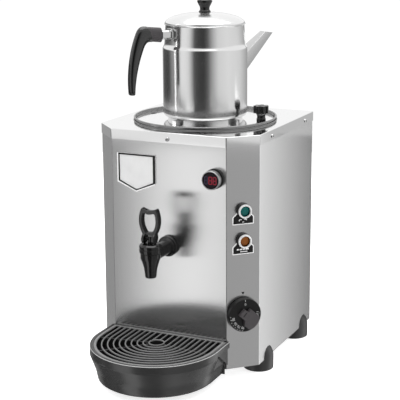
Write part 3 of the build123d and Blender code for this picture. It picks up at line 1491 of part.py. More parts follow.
# the bulb lies under the tank's floor, and a capillary leads to it from the thermostat
bulb_z = tank_floor_z - bulb_radius - slip_gap
capillary_plane = Plane(origin=corner.origin, x_dir=(-1, 1, 0), z_dir=(1, 1, 0))
capillary_start = sheet + thermostat_depth
with BuildPart() as thermostat_bulb:
    with BuildLine(capillary_plane):
        capillary = FilletPolyline(
            (capillary_start, thermostat_z),
            (capillary_start + 1.5 * capillary_bend, thermostat_z),
            (capillary_start + 1.5 * capillary_bend, bulb_z),
            (bulb_end, bulb_z),
            radius=capillary_bend,
        )
    with BuildSketch(Plane(origin=capillary @ 0, z_dir=capillary % 0)):
        Circle(capillary_radius)
    sweep(path=capillary)
    with BuildSketch(Plane(origin=capillary @ 1, z_dir=capillary % 1)):
        Circle(bulb_radius)
    extrude(amount=bulb_length)
thermostat_bulb.part.label = "thermostat_bulb"
export_step(thermostat_bulb.part, "parts/thermostat_bulb.step")

# ------------------------------------------------------------------ badge plate

with BuildPart() as badge_plate:
    badge_points = [
        (badge_left, badge_top_z),
        (badge_right, badge_top_z),
        (badge_right, badge_side_z),
        ((badge_left + badge_right) / 2, badge_tip_z),
        (badge_left, badge_side_z),
    ]
    with BuildSketch(front):
        Polygon(*badge_points, align=None)
    extrude(amount=badge_thickness)
    with BuildSketch(front.offset(badge_thickness)):
        Polygon(*badge_points, align=None)
        offset(amount=-badge_rim, mode=Mode.REPLACE)
    extrude(amount=badge_base - badge_thickness, mode=Mode.SUBTRACT)
badge_plate.part.label = "badge_plate"
export_step(badge_plate.part, "parts/badge_plate.step")

# ------------------------------------------------------------------ mains inlet

with BuildPart() as cable_gland:
    with BuildSketch(back):
        with Locations((-gland_x, gland_z)):
            hexagon(gland_hex)
    extrude(amount=gland_hex_length)
    with BuildSketch(back):
        with Locations((-gland_x, gland_z)):
            Circle(gland_dome_radius)
    extrude(amount=gland_reach)
    fillet(cable_gland.faces().sort_by(Axis.Y)[-1].edges(), radius=4)
    with BuildSketch(back):
        with Locations((-gland_x, gland_z)):
            Circle(gland_thread_radius)
    extrude(amount=-gland_inside)
    with BuildSketch(back.offset(gland_reach)):
        with Locations((-gland_x, gland_z)):
            Circle(gland_bore_radius)
    extrude(amount=-gland_reach - gland_inside, mode=Mode.SUBTRACT)
cable_gland.part.label = "cable_gland"
export_step(cable_gland.part, "parts/cable_gland.step")

with BuildPart() as gland_nut:
    with BuildSketch(back.offset(-sheet)):
        with Locations((-gland_x, gland_z)):
            hexagon(gland_hex)
            Circle(gland_thread_radius + slip_gap, mode=Mode.SUBTRACT)
    extrude(amount=-gland_nut_length)
gland_nut.part.label = "gland_nut"
export_step(gland_nut.part, "parts/gland_nut.step")

with BuildPart() as terminal_block:
    with BuildSketch(Plane(origin=(terminal_x, back_y - terminal_rear_inset, body_floor_z + sheet))):
        Rectangle(terminal_length, terminal_width)
    extrude(amount=terminal_height)
    with BuildSketch(terminal_block.faces().sort_by(Axis.Z)[-1]):
        with GridLocations(terminal_length / terminal_ways, terminal_width / 2, terminal_ways, 2):
            Circle(terminal_screw_radius)
    extrude(amount=-terminal_height / 2, mode=Mode.SUBTRACT)
terminal_block.part.label = "terminal_block"
export_step(terminal_block.part, "parts/terminal_block.step")
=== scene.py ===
from math import copysign, cos, pi, radians, sin

import bmesh
import bpy
from mathutils import Matrix, Vector, geometry


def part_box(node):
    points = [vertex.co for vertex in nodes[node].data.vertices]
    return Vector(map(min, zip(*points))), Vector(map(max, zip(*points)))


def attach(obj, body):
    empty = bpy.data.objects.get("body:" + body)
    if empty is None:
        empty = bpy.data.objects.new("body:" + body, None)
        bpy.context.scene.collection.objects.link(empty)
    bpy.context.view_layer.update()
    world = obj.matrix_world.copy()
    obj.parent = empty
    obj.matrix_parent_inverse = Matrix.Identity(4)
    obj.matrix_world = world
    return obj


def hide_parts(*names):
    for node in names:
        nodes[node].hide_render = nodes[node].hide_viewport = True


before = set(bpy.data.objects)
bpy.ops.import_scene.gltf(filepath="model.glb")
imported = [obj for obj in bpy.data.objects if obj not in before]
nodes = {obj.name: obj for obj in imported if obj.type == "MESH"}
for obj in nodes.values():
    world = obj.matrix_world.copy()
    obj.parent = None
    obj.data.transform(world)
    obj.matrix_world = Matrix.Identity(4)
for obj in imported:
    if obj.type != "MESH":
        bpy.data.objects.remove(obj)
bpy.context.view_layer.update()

mm = 0.001
hair = 1e-6  # points nearer than this, in metres, are one point


def middle(node):  # centre of a node's box, mm
    low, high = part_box(node)
    return (low + high) / 2 / mm


def shifted(x, y, z):  # a move in millimetres
    return Matrix.Translation((x * mm, y * mm, z * mm))


def rotated(degrees, axis="Z"):
    return Matrix.Rotation(radians(degrees), 4, axis)


# potTurn is the spout's direction, from +X; cornerInset leads to the middle of the chamfered corner
urn = {"halfWidth": 139, "depth": 282, "cornerInset": 19.7, "trayReach": 47, "potTurn": 56.1}
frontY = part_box("tap_gasket")[1].y / mm  # the front panel's face
backY = frontY + urn["depth"]
trayY = frontY - urn["trayReach"]  # the middle of the tray's half circle

upright = rotated(90, "X")  # local z points out of the front panel
tankPlace = shifted(0, middle("tank_lid").y, 0)  # tank and teapot share this axis
potFront = tankPlace @ rotated(urn["potTurn"])
potBack = tankPlace @ rotated(urn["potTurn"] + 180)
tapPlace = shifted(0, middle("tap_bonnet").y, 0)
trayPlace = shifted(0, trayY, 0)


def onFront(x, z):
    return shifted(x, frontY, z) @ upright


def onCorner(z):
    inset = urn["cornerInset"]
    return shifted(urn["halfWidth"] - inset, frontY + inset, z) @ rotated(45) @ upright


# Outlines are lists of (across, up, rounding), in mm.


def bow(start, *stretches):  # curved stretches of an outline, each (pull, push, end, points), end to end
    corners = [(*start, 0)]
    for pull, push, end, points in stretches:
        knots = [Vector((*p, 0)) for p in (start, pull, push, end)]
        corners += [(p.x, p.y, 0) for p in geometry.interpolate_bezier(*knots, points)[1:]]
        start = end
    return corners


def square(half, rounding):
    return [(-half, -half, rounding), (half, -half, rounding), (half, half, rounding), (-half, half, rounding)]


def outlineFace(bm, outline, roundSteps=5):
    verts = [bm.verts.new((x * mm, y * mm, 0)) for x, y, _ in outline]
    bm.faces.new(verts)
    for vert, (_, _, rounding) in zip(verts, outline):
        if rounding:
            bmesh.ops.bevel(bm, geom=[vert], offset=rounding * mm, offset_type="OFFSET", segments=roundSteps,
                            profile=0.5, affect="VERTICES", material=-1)


def standingOutline(outline, roundSteps=5):  # an outline's edges, stood up, without those on the axis
    bm = bmesh.new()
    outlineFace(bm, outline, roundSteps)
    bmesh.ops.delete(bm, geom=bm.faces[:], context="FACES_ONLY")
    onAxis = [e for e in bm.edges if all(abs(v.co.x) < hair for v in e.verts)]
    bmesh.ops.delete(bm, geom=onAxis, context="EDGES")
    bmesh.ops.transform(bm, matrix=upright, verts=bm.verts[:])
    return bm


def turned(outline, place=Matrix(), steps=96):  # an outline of (radius, height, rounding) spun round
    bm = standingOutline(outline)
    bmesh.ops.spin(bm, geom=bm.verts[:] + bm.edges[:], cent=(0, 0, 0), axis=(0, 0, 1), dvec=(0, 0, 0),
                   angle=2 * pi, steps=steps, use_merge=True)
    bmesh.ops.remove_doubles(bm, verts=bm.verts[:], dist=hair)
    bmesh.ops.transform(bm, matrix=place, verts=bm.verts[:])
    return bm


def swept(outline, back=None):  # carried round the tray's half circle, then straight back
    bm = standingOutline(outline, 4)
    bmesh.ops.spin(bm, geom=bm.verts[:] + bm.edges[:], cent=(0, 0, 0), axis=(0, 0, -1), dvec=(0, 0, 0),
                   angle=pi, steps=64)
    bmesh.ops.remove_doubles(bm, verts=bm.verts[:], dist=hair)
    if back is not None:
        grown = bmesh.ops.extrude_edge_only(bm, edges=[e for e in bm.edges if e.is_boundary])
        moved = [g for g in grown["geom"] if isinstance(g, bmesh.types.BMVert)]
        bmesh.ops.translate(bm, vec=(0, (back - trayY) * mm, 0), verts=moved)
    bmesh.ops.holes_fill(bm, edges=[e for e in bm.edges if e.is_boundary], sides=0)
    bmesh.ops.transform(bm, matrix=trayPlace, verts=bm.verts[:])
    return bm


def lift(bm, low, high):  # gives a flat shape its height
    bmesh.ops.translate(bm, vec=(0, 0, low * mm), verts=bm.verts[:])
    grown = bmesh.ops.extrude_face_region(bm, geom=bm.faces[:])
    top = [g for g in grown["geom"] if isinstance(g, bmesh.types.BMVert)]
    bmesh.ops.translate(bm, vec=(0, 0, (high - low) * mm), verts=top)
    bmesh.ops.recalc_face_normals(bm, faces=bm.faces[:])


def roundRims(bm, levels, edge, steps):  # rims are the edges at these heights with a clear fold
    if not edge:
        return
    leastFold = 0.6
    rims = [e for e in bm.edges if any(all(abs(v.co.z - z * mm) < hair for v in e.verts) for z in levels)
            and len(e.link_faces) == 2 and e.calc_face_angle() > leastFold]
    bmesh.ops.bevel(bm, geom=rims, offset=edge * mm, offset_type="OFFSET", segments=steps, profile=0.5,
                    affect="EDGES", clamp_overlap=True, material=-1)


def pressed(outline, low, high, place=Matrix(), edge=0, edgeSteps=4, roundSteps=5, bothEdges=False):
    bm = bmesh.new()  # an outline pushed out along local z, its far rim rounded
    outlineFace(bm, outline, roundSteps)
    lift(bm, low, high)
    roundRims(bm, [high] + [low] * bothEdges, edge, edgeSteps)
    bmesh.ops.transform(bm, matrix=place, verts=bm.verts[:])
    return bm


def bridged(loops):  # two loops of corners, joined by faces
    bm = bmesh.new()
    edges = []
    for corners in loops:
        verts = [bm.verts.new(Vector(corner) * mm) for corner in corners]
        edges += [bm.edges.new((a, b)) for a, b in zip(verts, verts[1:] + verts[:1])]
    bmesh.ops.bridge_loops(bm, edges=edges)
    return bm


def ringPressed(outer, inner, low, high, place=Matrix(), edge=0, edgeSteps=4):
    bm = bridged([[(x, y, 0) for x, y, _ in outline] for outline in (outer, inner)])
    lift(bm, low, high)
    roundRims(bm, [high, low], edge, edgeSteps)
    bmesh.ops.transform(bm, matrix=place, verts=bm.verts[:])
    return bm


def bar(size, centre, place=Matrix(), edge=0):  # a bar with eased edges
    bm = bmesh.new()
    bmesh.ops.create_cube(bm, size=1)
    bmesh.ops.scale(bm, vec=Vector(size) * mm, verts=bm.verts[:])
    bmesh.ops.translate(bm, vec=Vector(centre) * mm, verts=bm.verts[:])
    if edge:
        bmesh.ops.bevel(bm, geom=bm.edges[:], offset=edge * mm, offset_type="OFFSET", segments=3, profile=0.5,
                        affect="EDGES", material=-1)
    bmesh.ops.transform(bm, matrix=place, verts=bm.verts[:])
    return bm


def lettering(text, size, raised, place):  # plain numerals, made a mesh
    curve = bpy.data.curves.new("numerals", "FONT")
    curve.body, curve.size, curve.extrude = text, size * mm, raised * mm
    curve.align_x, curve.align_y = "CENTER", "CENTER"
    holder = bpy.data.objects.new("numerals", curve)
    mesh = bpy.data.meshes.new_from_object(holder)
    bm = bmesh.new()
    bm.from_mesh(mesh)
    bmesh.ops.transform(bm, matrix=place, verts=bm.verts[:])
    bpy.data.objects.remove(holder)
    bpy.data.meshes.remove(mesh)
    return bm


def addPiece(name, body, shapes, node=None, sharp=32):  # shapes are (bmesh, finish) pairs
    whole, looks = bmesh.new(), []
    for shape, look in shapes:
        if look not in looks:
            looks.append(look)
        bmesh.ops.recalc_face_normals(shape, faces=shape.faces[:])
        for face in shape.faces:
            face.material_index = looks.index(look)
        loose = bpy.data.meshes.new("loose")
        shape.to_mesh(loose)
        shape.free()
        whole.from_mesh(loose)
        bpy.data.meshes.remove(loose)
    mesh = bpy.data.meshes.new(name)
    whole.to_mesh(mesh)
    whole.free()
    mesh.shade_smooth()
    mesh.set_sharp_from_angle(angle=radians(sharp))
    for look in looks:
        mesh.materials.append(look)
    piece = bpy.data.objects.new(name, mesh)
    bpy.context.scene.collection.objects.link(piece)
    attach(piece, body)
    if node:
        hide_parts(node)


def tone(value, tint=(1, 1, 1)):
    return (value * tint[0], value * tint[1], value * tint[2], 1)


class Wire:  # one socket of a shader tree, with sums written as sums
    def __init__(self, tree, socket=None):
        self.tree, self.socket = tree, socket

    def make(self, kind, settings=None, sockets=None, out=0):
        node = self.tree.nodes.new(kind)
        for key, value in (settings or {}).items():
            if key == "stops":
                stops = node.color_ramp.elements
                while len(stops) < len(value):
                    stops.new(1)
                for stop, (position, shade) in zip(stops, value):
                    stop.position, stop.color = position, tone(shade)
            else:
                setattr(node, key, value)
        for key, value in (sockets or {}).items():
            if isinstance(value, Wire):
                self.tree.links.new(value.socket, node.inputs[key])
            else:
                node.inputs[key].default_value = value
        return Wire(self.tree, node.outputs[out])

    def sum(self, operation, other, swap=False):
        pair = {0: other, 1: self} if swap else {0: self, 1: other}
        return self.make("ShaderNodeMath", {"operation": operation}, pair)

    def __add__(self, other):
        return self.sum("ADD", other)

    def __sub__(self, other):
        return self.sum("SUBTRACT", other)

    def __rsub__(self, other):
        return self.sum("SUBTRACT", other, True)

    def __mul__(self, other):
        return self.sum("MULTIPLY", other)

    __radd__, __rmul__ = __add__, __mul__

    def blend(self, low, high):  # mixes two colours by this socket
        return self.make("ShaderNodeMix", {"data_type": "RGBA"}, {0: self, 6: low, 7: high}, out=2)

    def noise(self, scale, detail=2.0, roughness=0.5):  # this socket places the noise
        sockets = {"Vector": self, "Scale": scale, "Detail": detail, "Roughness": roughness}
        return self.make("ShaderNodeTexNoise", {}, sockets)

    def bumped(self, strength):  # this socket is the height, over 0.2 mm
        return self.make("ShaderNodeBump", {}, {"Strength": strength, "Distance": 0.0002, "Height": self})


def finish(name, surface, **fixed):  # fixed are numbers set on the shader's own sockets
    material = bpy.data.materials.new(name)
    material.use_nodes = True
    material.diffuse_color = (0.5, 0.5, 0.5, 1)
    tree = material.node_tree
    tree.nodes.clear()
    place = Wire(tree).make("ShaderNodeTexCoord", out=3)
    inputs = {key.replace("_", " "): value for key, value in fixed.items()}
    inputs.update(surface(place))
    shader = place.make("ShaderNodeBsdfPrincipled", {}, inputs)
    output = tree.nodes.new("ShaderNodeOutputMaterial")
    tree.links.new(shader.socket, output.inputs["Surface"])
    return material


def brushedSteel(name, look):  # fine grain lines along one way, with a cloudy change of shade
    def surface(place):
        stretched = place.make("ShaderNodeMapping", {}, {"Vector": place, "Scale": look["grain"]})
        lines = stretched.noise(1.0, 4.0, 0.6)
        clouds = place.noise(7.0, 3.0)
        smudge = place.noise(31.0, 5.0)
        low, high = tone(look["shade"] - look["spread"]), tone(look["shade"] + look["spread"])
        colour = (0.35 * lines + 0.65 * clouds).blend(low, high)
        rough = look["roughness"] + look["streak"] * (lines - 0.5) + look["cloud"] * (smudge - 0.5)
        return {"Base Color": colour, "Roughness": rough, "Normal": lines.bumped(look["bump"])}

    return finish(name, surface, Metallic=1.0, Anisotropic=look["stretch"], Anisotropic_Rotation=look["turn"])


brushed = {"shade": 0.72, "spread": 0.015, "roughness": 0.235, "streak": 0.02, "cloud": 0.01,
           "grain": (1500, 1500, 20), "bump": 0.006, "stretch": 0.88, "turn": 0.0}
polished = {"shade": 0.74, "spread": 0.02, "roughness": 0.17, "streak": 0.04, "cloud": 0.04,
            "grain": (60, 60, 1200), "bump": 0.012, "stretch": 0.5, "turn": 0.25}
mirrored = {"shade": 0.8, "spread": 0.02, "roughness": 0.09, "streak": 0.03, "cloud": 0.04,
            "grain": (40, 700, 40), "bump": 0.02, "stretch": 0.0, "turn": 0.0}
evenGrain = (300, 300, 300)  # small parts show no direction in their grain
moulding = {"pores": 900.0, "poreGrain": 0.02, "dust": 18.0, "darkest": 0.8, "lightest": 1.25}


def mouldedPlastic(name, shade, roughness, coat=0.0, tint=(1, 1, 1), bump=0.08, cloud=0.1, shine=0.5):
    def surface(place):
        pores = place.noise(moulding["pores"], 3.0)
        dust = place.noise(moulding["dust"], 5.0, 0.6)
        colour = dust.blend(tone(shade * moulding["darkest"], tint), tone(shade * moulding["lightest"], tint))
        rough = roughness + moulding["poreGrain"] * pores + cloud * (dust - 0.5)
        return {"Base Color": colour, "Roughness": rough, "Normal": pores.bumped(bump)}

    return finish(name, surface, Coat_Weight=coat, Coat_Roughness=0.08, Specular_IOR_Level=shine)


def litLens(name, colour, glow, coat=0.25):  # a tinted lens, mottled and faintly lit
    def surface(place):
        mottle = place.make("ShaderNodeTexVoronoi", {}, {"Vector": place, "Scale": 900.0})
        shade = mottle.blend(tone(1.25, colour), tone(0.7, colour))
        return {"Base Color": shade, "Roughness": 0.12 + 0.1 * mottle, "Emission Color": shade}

    return finish(name, surface, Emission_Strength=glow, Coat_Weight=coat, Coat_Roughness=0.05,
                  Specular_IOR_Level=0.25)


def brassSurface(place):
    return {"Base Color": place.noise(60.0).blend((0.62, 0.47, 0.2, 1), (0.75, 0.6, 0.32, 1)),
            "Roughness": 0.25 + 0.1 * place.noise(300.0)}


panelSteel = brushedSteel("panelSteel", brushed)
coverSteel = brushedSteel("coverSteel", mirrored)
potSteel = brushedSteel("potSteel", polished)
lidSteel = brushedSteel("lidSteel", {**polished, "shade": 0.8, "roughness": 0.22, "grain": (500, 500, 60)})
tankSteel = brushedSteel("tankSteel", polished)
# a much darker copy of the pot's polished steel, for the tank's shell and rim: painted shade
rimSteelShaded = brushedSteel("rimSteelShaded", {**polished, "shade": 0.27, "roughness": 0.27})
# a darker copy of the pot's steel for the spout: painted shade that tones down its brightly lit faces
spoutSteelShaded = brushedSteel("spoutSteelShaded", {**polished, "shade": 0.6})
zincSteel = brushedSteel("zincSteel", {**polished, "shade": 0.62, "roughness": 0.3, "grain": evenGrain})
sheathSteel = brushedSteel("sheathSteel", {**polished, "shade": 0.35, "roughness": 0.4, "grain": (200, 200, 200)})
turnedBrass = finish("turnedBrass", brassSurface, Metallic=1.0)
bezelChrome = brushedSteel("bezelChrome", {**mirrored, "shade": 0.6, "grain": evenGrain})
bezelSatin = brushedSteel("bezelSatin", {**mirrored, "shade": 0.42, "roughness": 0.38, "grain": evenGrain})
blackGloss = mouldedPlastic("blackGloss", 0.004, 0.1, bump=0.01, cloud=0.03)
handleGloss = mouldedPlastic("handleGloss", 0.003, 0.08, bump=0.01, cloud=0.03, shine=0.75)
blackSatin = mouldedPlastic("blackSatin", 0.008, 0.3, shine=0.25)
gripPlastic = mouldedPlastic("gripPlastic", 0.05, 0.4, tint=(1.05, 0.96, 1.02), shine=0.3)
trayPlastic = mouldedPlastic("trayPlastic", 0.022, 0.24, bump=0.01, cloud=0.01)
# a pale plastic for the tray rim's edge strip: painted highlight where the rounded edge catches the light
trayEdgeHighlight = mouldedPlastic("trayEdgeHighlight", 0.42, 0.3, bump=0.02)
# the grill's plastic is grey where the tray's is black: painted highlight standing in for the light the rib tops
# catch
grillHighlightPlastic = mouldedPlastic("grillHighlightPlastic", 0.19, 0.28, coat=0.15, bump=0.01, cloud=0.03)
footPlastic = mouldedPlastic("footPlastic", 0.02, 0.4)
sealRubber = mouldedPlastic("sealRubber", 0.018, 0.5)
sealSilicone = mouldedPlastic("sealSilicone", 0.14, 0.4)
labelBlack = mouldedPlastic("labelBlack", 0.012, 0.4, shine=0.15)
labelWhite = mouldedPlastic("labelWhite", 0.75, 0.45)
badgeEnamel = mouldedPlastic("badgeEnamel", 0.66, 0.35, bump=0.02)
rimPale = mouldedPlastic("rimPale", 0.6, 0.35, bump=0.02)
lampDark = mouldedPlastic("lampDark", 0.008, 0.25, shine=0.3)
dialInk = mouldedPlastic("dialInk", 0.42, 0.5)
paleMoulding = mouldedPlastic("paleMoulding", 0.6, 0.5, tint=(1, 0.99, 0.95))
windowTint = mouldedPlastic("windowTint", 0.003, 0.1, tint=(1.6, 0.5, 1.2), bump=0.0, shine=0.1)
digitRed = litLens("digitRed", (0.2, 0.006, 0.018), 0.25, 0.0)
digitDim = litLens("digitDim", (0.02, 0.014, 0.04), 0.1, 0.0)
greenLens = litLens("greenLens", (0.0, 0.1, 0.09), 0.06)
amberLens = litLens("amberLens", (0.2, 0.06, 0.006), 0.06)
print("finishes made")

carried = {
    panelSteel: ["body_wrap", "back_panel", "bottom_plate", "tank_stand"],
    coverSteel: ["top_cover", "tank_lid"],
    tankSteel: ["pot_stand", "outlet_pipe"],
    zincSteel: ["foot_screws", "lid_knob_stud", "handle_screw", "teapot_lid_screw", "thermostat_screws", "tap_pin",
                "tap_spring", "thermometer_probe", "safety_cutout", "thermostat_spindle"],
    sheathSteel: ["heating_element"],
    turnedBrass: ["element_plug", "thermostat_bulb"],
    blackGloss: ["tap_plunger", "tap_shank_nut", "thermometer_nut", "lamp_nuts", "cable_gland", "gland_nut"],
    sealRubber: ["tap_gasket", "tap_seat_cup", "element_gasket", "thermometer_gasket"],
    paleMoulding: ["thermostat_body", "terminal_block"],
}
for material, names in carried.items():
    for name in names:
        nodes[name].data.materials.clear()
        nodes[name].data.materials.append(material)
print("carried-over nodes dressed")

# slant is how much of "below" the badge's side corners follow
badge = {"left": -89.0, "right": -21.5, "top": 356.0, "side": 309.0, "tip": 295.0, "slant": 0.8,
         "thick": 2.5, "face": 1.6}


def shield(left, right, top, below, belowRight=None):  # the outline, drawn in by so much on each side
    leftX, rightX, topZ = badge["left"] + left, badge["right"] - right, badge["top"] - top
    leftZ = badge["side"] + below * badge["slant"]
    rightZ = badge["side"] + (below if belowRight is None else belowRight) * badge["slant"]
    tip = ((badge["left"] + badge["right"]) / 2, badge["tip"] + below, 0)
    return [(leftX, topZ, 0), (rightX, topZ, 0), (rightX, rightZ, 0), tip, (leftX, leftZ, 0)]


face, thick, badgePlace = badge["face"], badge["thick"], onFront(0, 0)
plate = pressed(shield(0, 0, 0, 0), 0, face, badgePlace)
paleRim = ringPressed(shield(0, 0.1, 0.1, 0), shield(3.0, 1.2, 1.2, 3.0), face - 0.1, thick - 0.1, badgePlace, 0.2)
# the dark ring is partly the badge's thin dark outline and partly painted shadow: it is wider on the right and lower
# right, where the plate's side is in shade
darkRimAndShadow = ringPressed(shield(2.3, 0, 0, 2.2), shield(4.3, 3.8, 2.3, 3.9, 3.1), face - 0.2, thick, badgePlace)
badgeParts = [(plate, badgeEnamel), (paleRim, labelWhite), (darkRimAndShadow, labelBlack)]
addPiece("badgePlate", "urn_body", badgeParts, "badge_plate")
print("badge made, left bare")

# heights are from the floor and radii from the tank's axis, for the pot as well
tank = {"wall": 1.0, "radius": 109, "floor": 190, "rim": 116.5, "ledge": 389, "top": 400.2, "bead": 1.9, "steps": 160}
top, floor, ledge, bead = tank["top"], tank["floor"], tank["ledge"], tank["rim"] + tank["bead"]
radius, inside, wall = tank["radius"], tank["radius"] - tank["wall"], tank["wall"]
tankWall = [
    (0, floor, 0), (radius, floor, 12), (radius, ledge - wall, 0.8), (tank["rim"], ledge - wall, 1),
    (tank["rim"], top - 2.6, 0), (bead, top - 2.2, 0.7), (bead, top, 1.2), (tank["rim"] - wall, top, 1.2),
    (tank["rim"] - wall, ledge, 0.4), (inside, ledge, 0.8), (inside, floor + wall, 11), (0, floor + wall, 0),
]
addPiece("tankShell", "urn_body", [(turned(tankWall, tankPlace, tank["steps"]), rimSteelShaded)], "tank")

seal = {"inner": 116.8, "outer": 119.0, "low": 391.8, "top": 395.4, "groove": 117.7, "grooveLow": 393.1,
        "grooveTop": 394.05}
inner, outer, low, top = seal["inner"], seal["outer"], seal["low"], seal["top"]
groove, grooveLow, grooveTop = seal["groove"], seal["grooveLow"], seal["grooveTop"]
sealShape = [
    (inner, low, 0.3), (outer, low, 0.4), (outer, grooveLow, 0), (groove, grooveLow, 0), (groove, grooveTop, 0),
    (outer + 0.1, grooveTop, 0), (outer - 0.2, top, 0.8), (inner, top, 0.4),
]
grooveShape = [  # a black ring that fills the groove: painted shade for the dark gap between the rim's bead and the seal
    (groove - 0.5, grooveLow - 0.1, 0), (outer - 0.25, grooveLow - 0.1, 0), (outer - 0.25, grooveTop + 0.35, 0),
    (groove - 0.5, grooveTop + 0.35, 0),
]
sealParts = [(turned(sealShape, tankPlace, tank["steps"]), sealSilicone),
             (turned(grooveShape, tankPlace, tank["steps"]), sealRubber)]
addPiece("tankSeal", "urn_body", sealParts, "tank_seal")

# the star knob on the tank's lid; its turns are in radians to each side of a lobe's middle
starKnob = {"lobes": 7, "hollow": 9.8, "hollowTurn": 0.3, "lobe": 12.8, "lobeTurn": 0.2, "stem": 6.8,
            "foot": 394.8, "neck": 409.3, "top": 421.6}
knobSpot = middle("lid_knob")
knobPlace = shifted(knobSpot.x, knobSpot.y, 0)
foot, neck, top, stem = starKnob["foot"], starKnob["neck"], starKnob["top"], starKnob["stem"]
starOutline = []
for lobe in range(starKnob["lobes"]):
    for way, part, soft in ((-1, "hollow", 1.4), (-1, "lobe", 2.1), (1, "lobe", 2.1), (1, "hollow", 1.4)):
        angle = 2 * pi * lobe / starKnob["lobes"] + way * starKnob[part + "Turn"]
        starOutline.append((starKnob[part] * cos(angle), starKnob[part] * sin(angle), soft))
starHead = pressed(starOutline, neck, top, knobPlace, edge=3.4, edgeSteps=5, roundSteps=3, bothEdges=True)
starStem = [(0, foot, 0), (stem + 0.8, foot, 0.8), (stem + 0.8, foot + 5.6, 1), (stem, foot + 6.6, 0.5),
            (stem, neck - 3.3, 1.5), (starKnob["hollow"], neck + 0.5, 0), (0, neck + 0.5, 0)]
starCap = [(0, top - 0.3, 0), (5.6, top - 0.3, 0), (5.2, top + 0.35, 0.3), (3.4, top + 0.3, 0.3),
           (2.6, top - 0.1, 0), (0, top - 0.15, 0)]
knobParts = [(starHead, blackGloss), (turned(starStem, knobPlace, 48), blackGloss),
             (turned(starCap, knobPlace, 48), blackSatin)]
addPiece("lidKnob", "tank_lid", knobParts, "lid_knob")
print("tank and lid knob made")

pot = {"radius": 69.5, "wall": 0.8, "foot": 400, "footRadius": 62, "shoulder": 513.2, "neckFoot": 519.5,
       "neck": 64.5, "top": 552, "steps": 160}
radius, wall, foot, footRadius = pot["radius"], pot["wall"], pot["foot"], pot["footRadius"]
shoulder, neckFoot, neck, top = pot["shoulder"], pot["neckFoot"], pot["neck"], pot["top"]
potWall = [
    (0, foot, 0), (footRadius, foot, 1), (footRadius + 1, foot + 0.4, 1), (radius, foot + 0.8, 6),
    (radius, shoulder, 1.6), (radius - 2.2, shoulder + 3.4, 1.4), (radius - 3, neckFoot, 1), (neck, top - 1.6, 1),
    (neck + 2.1, top - 1.1, 0.3), (neck + 2.5, top - 0.4, 0.3), (neck + 2, top, 0.2), (neck - wall, top, 0.5),
    (radius - 3.7, neckFoot - 0.9, 0), (radius - wall, shoulder + 0.2, 0), (radius - wall, foot + 2, 6),
    (0, foot + 1.2, 0),
]
addPiece("teapotBody", "teapot", [(turned(potWall, tankPlace, pot["steps"]), potSteel)], "teapot_body")

potLid = {"top": 570, "radius": 65.5, "edge": 552.1, "skirt": 63.1, "skirtFoot": 546, "wall": 0.8}
top, radius, edge, skirt = potLid["top"], potLid["radius"], potLid["edge"], potLid["skirt"]
lidWall = bow((0, top), ((24, top), (44, top - 3), (56, 561.5), 12),
              ((60.5, 559.4), (64.8, 556.6), (radius, 553.8), 8))
lidWall += [(radius, edge, 0.2), (skirt, edge, 0), (skirt, potLid["skirtFoot"], 0),
            (skirt - potLid["wall"], potLid["skirtFoot"], 0)]
lidWall += bow((62, 555.2), ((60, 557), (44, 566.1), (0, top - potLid["wall"]), 14))
addPiece("teapotLid", "teapot_lid", [(turned(lidWall, tankPlace, pot["steps"]), lidSteel)], "teapot_lid")

potKnob = {"foot": 570.05, "footRadius": 9.9, "waist": 8.3, "radius": 12.6, "top": 590.9}
foot, waist, radius, top = potKnob["foot"], potKnob["waist"], potKnob["radius"], potKnob["top"]
knobOutline = [(0, foot, 0), (potKnob["footRadius"], foot, 0.5), (potKnob["footRadius"] - 0.3, foot + 1.95, 1.0)]
knobOutline += bow((waist, 573.0), ((7.5, 574.2), (7.6, 576.4), (waist, 578.6), 8))
knobOutline += [(radius - 0.4, 586.2, 1.2), (radius, 589.4, 1.6), (9, top - 0.1, 3), (0, top, 0)]
addPiece("teapotLidKnob", "teapot_lid", [(turned(knobOutline, tankPlace, 72), blackGloss)], "teapot_lid_knob")

spout = {"rootHalf": 14.4, "rootTop": 497.5, "rootKeel": 456.3, "mouthHalf": 7.0, "mouth": (114.6, 532.0),
         "tip": (134.0, 529.5), "start": 68.0, "wall": 0.8, "fold": 0.7}


def foldedSpout(s):  # two triangles bridged, the folds eased, then given a wall
    out, back = pot["radius"], s["start"] - pot["radius"]  # the root is measured on the pot's wall
    (mouthX, mouthZ), (tipX, tipZ) = s["mouth"], s["tip"]
    topZ = s["rootTop"] + back * ((mouthZ - s["rootTop"]) / (mouthX - out))
    keelZ = s["rootKeel"] + back * ((tipZ - s["rootKeel"]) / (tipX - out))
    root = [(s["start"], -s["rootHalf"], topZ), (s["start"], s["rootHalf"], topZ), (s["start"], 0, keelZ)]
    mouth = [(mouthX, -s["mouthHalf"], mouthZ), (mouthX, s["mouthHalf"], mouthZ), (tipX, 0, tipZ)]
    bm = bridged([root, mouth])
    folds = [e for e in bm.edges if not e.is_boundary]
    bmesh.ops.bevel(bm, geom=folds, offset=s["fold"] * mm, offset_type="OFFSET", segments=3, profile=0.5,
                    affect="EDGES", material=-1)
    bmesh.ops.recalc_face_normals(bm, faces=bm.faces[:])
    bmesh.ops.solidify(bm, geom=bm.faces[:], thickness=s["wall"] * mm)
    bmesh.ops.transform(bm, matrix=potFront, verts=bm.verts[:])
    return bm


addPiece("teapotSpout", "teapot", [(foldedSpout(spout), spoutSteelShaded)], "teapot_spout")

bracket = {"z": 537, "boss": (7.5, 4), "bossReach": (64.8, 83), "flange": (10, 6), "flangeReach": (64.9, 67.2)}
outOfPot = potBack @ shifted(0, 0, bracket["z"]) @ rotated(90, "Y")
boss = pressed(square(*bracket["boss"]), *bracket["bossReach"], outOfPot, edge=0.6)
flange = pressed(square(*bracket["flange"]), *bracket["flangeReach"], outOfPot, edge=0.7)
addPiece("handleBracket", "teapot", [(boss, bezelChrome), (flange, bezelChrome)], "handle_bracket")

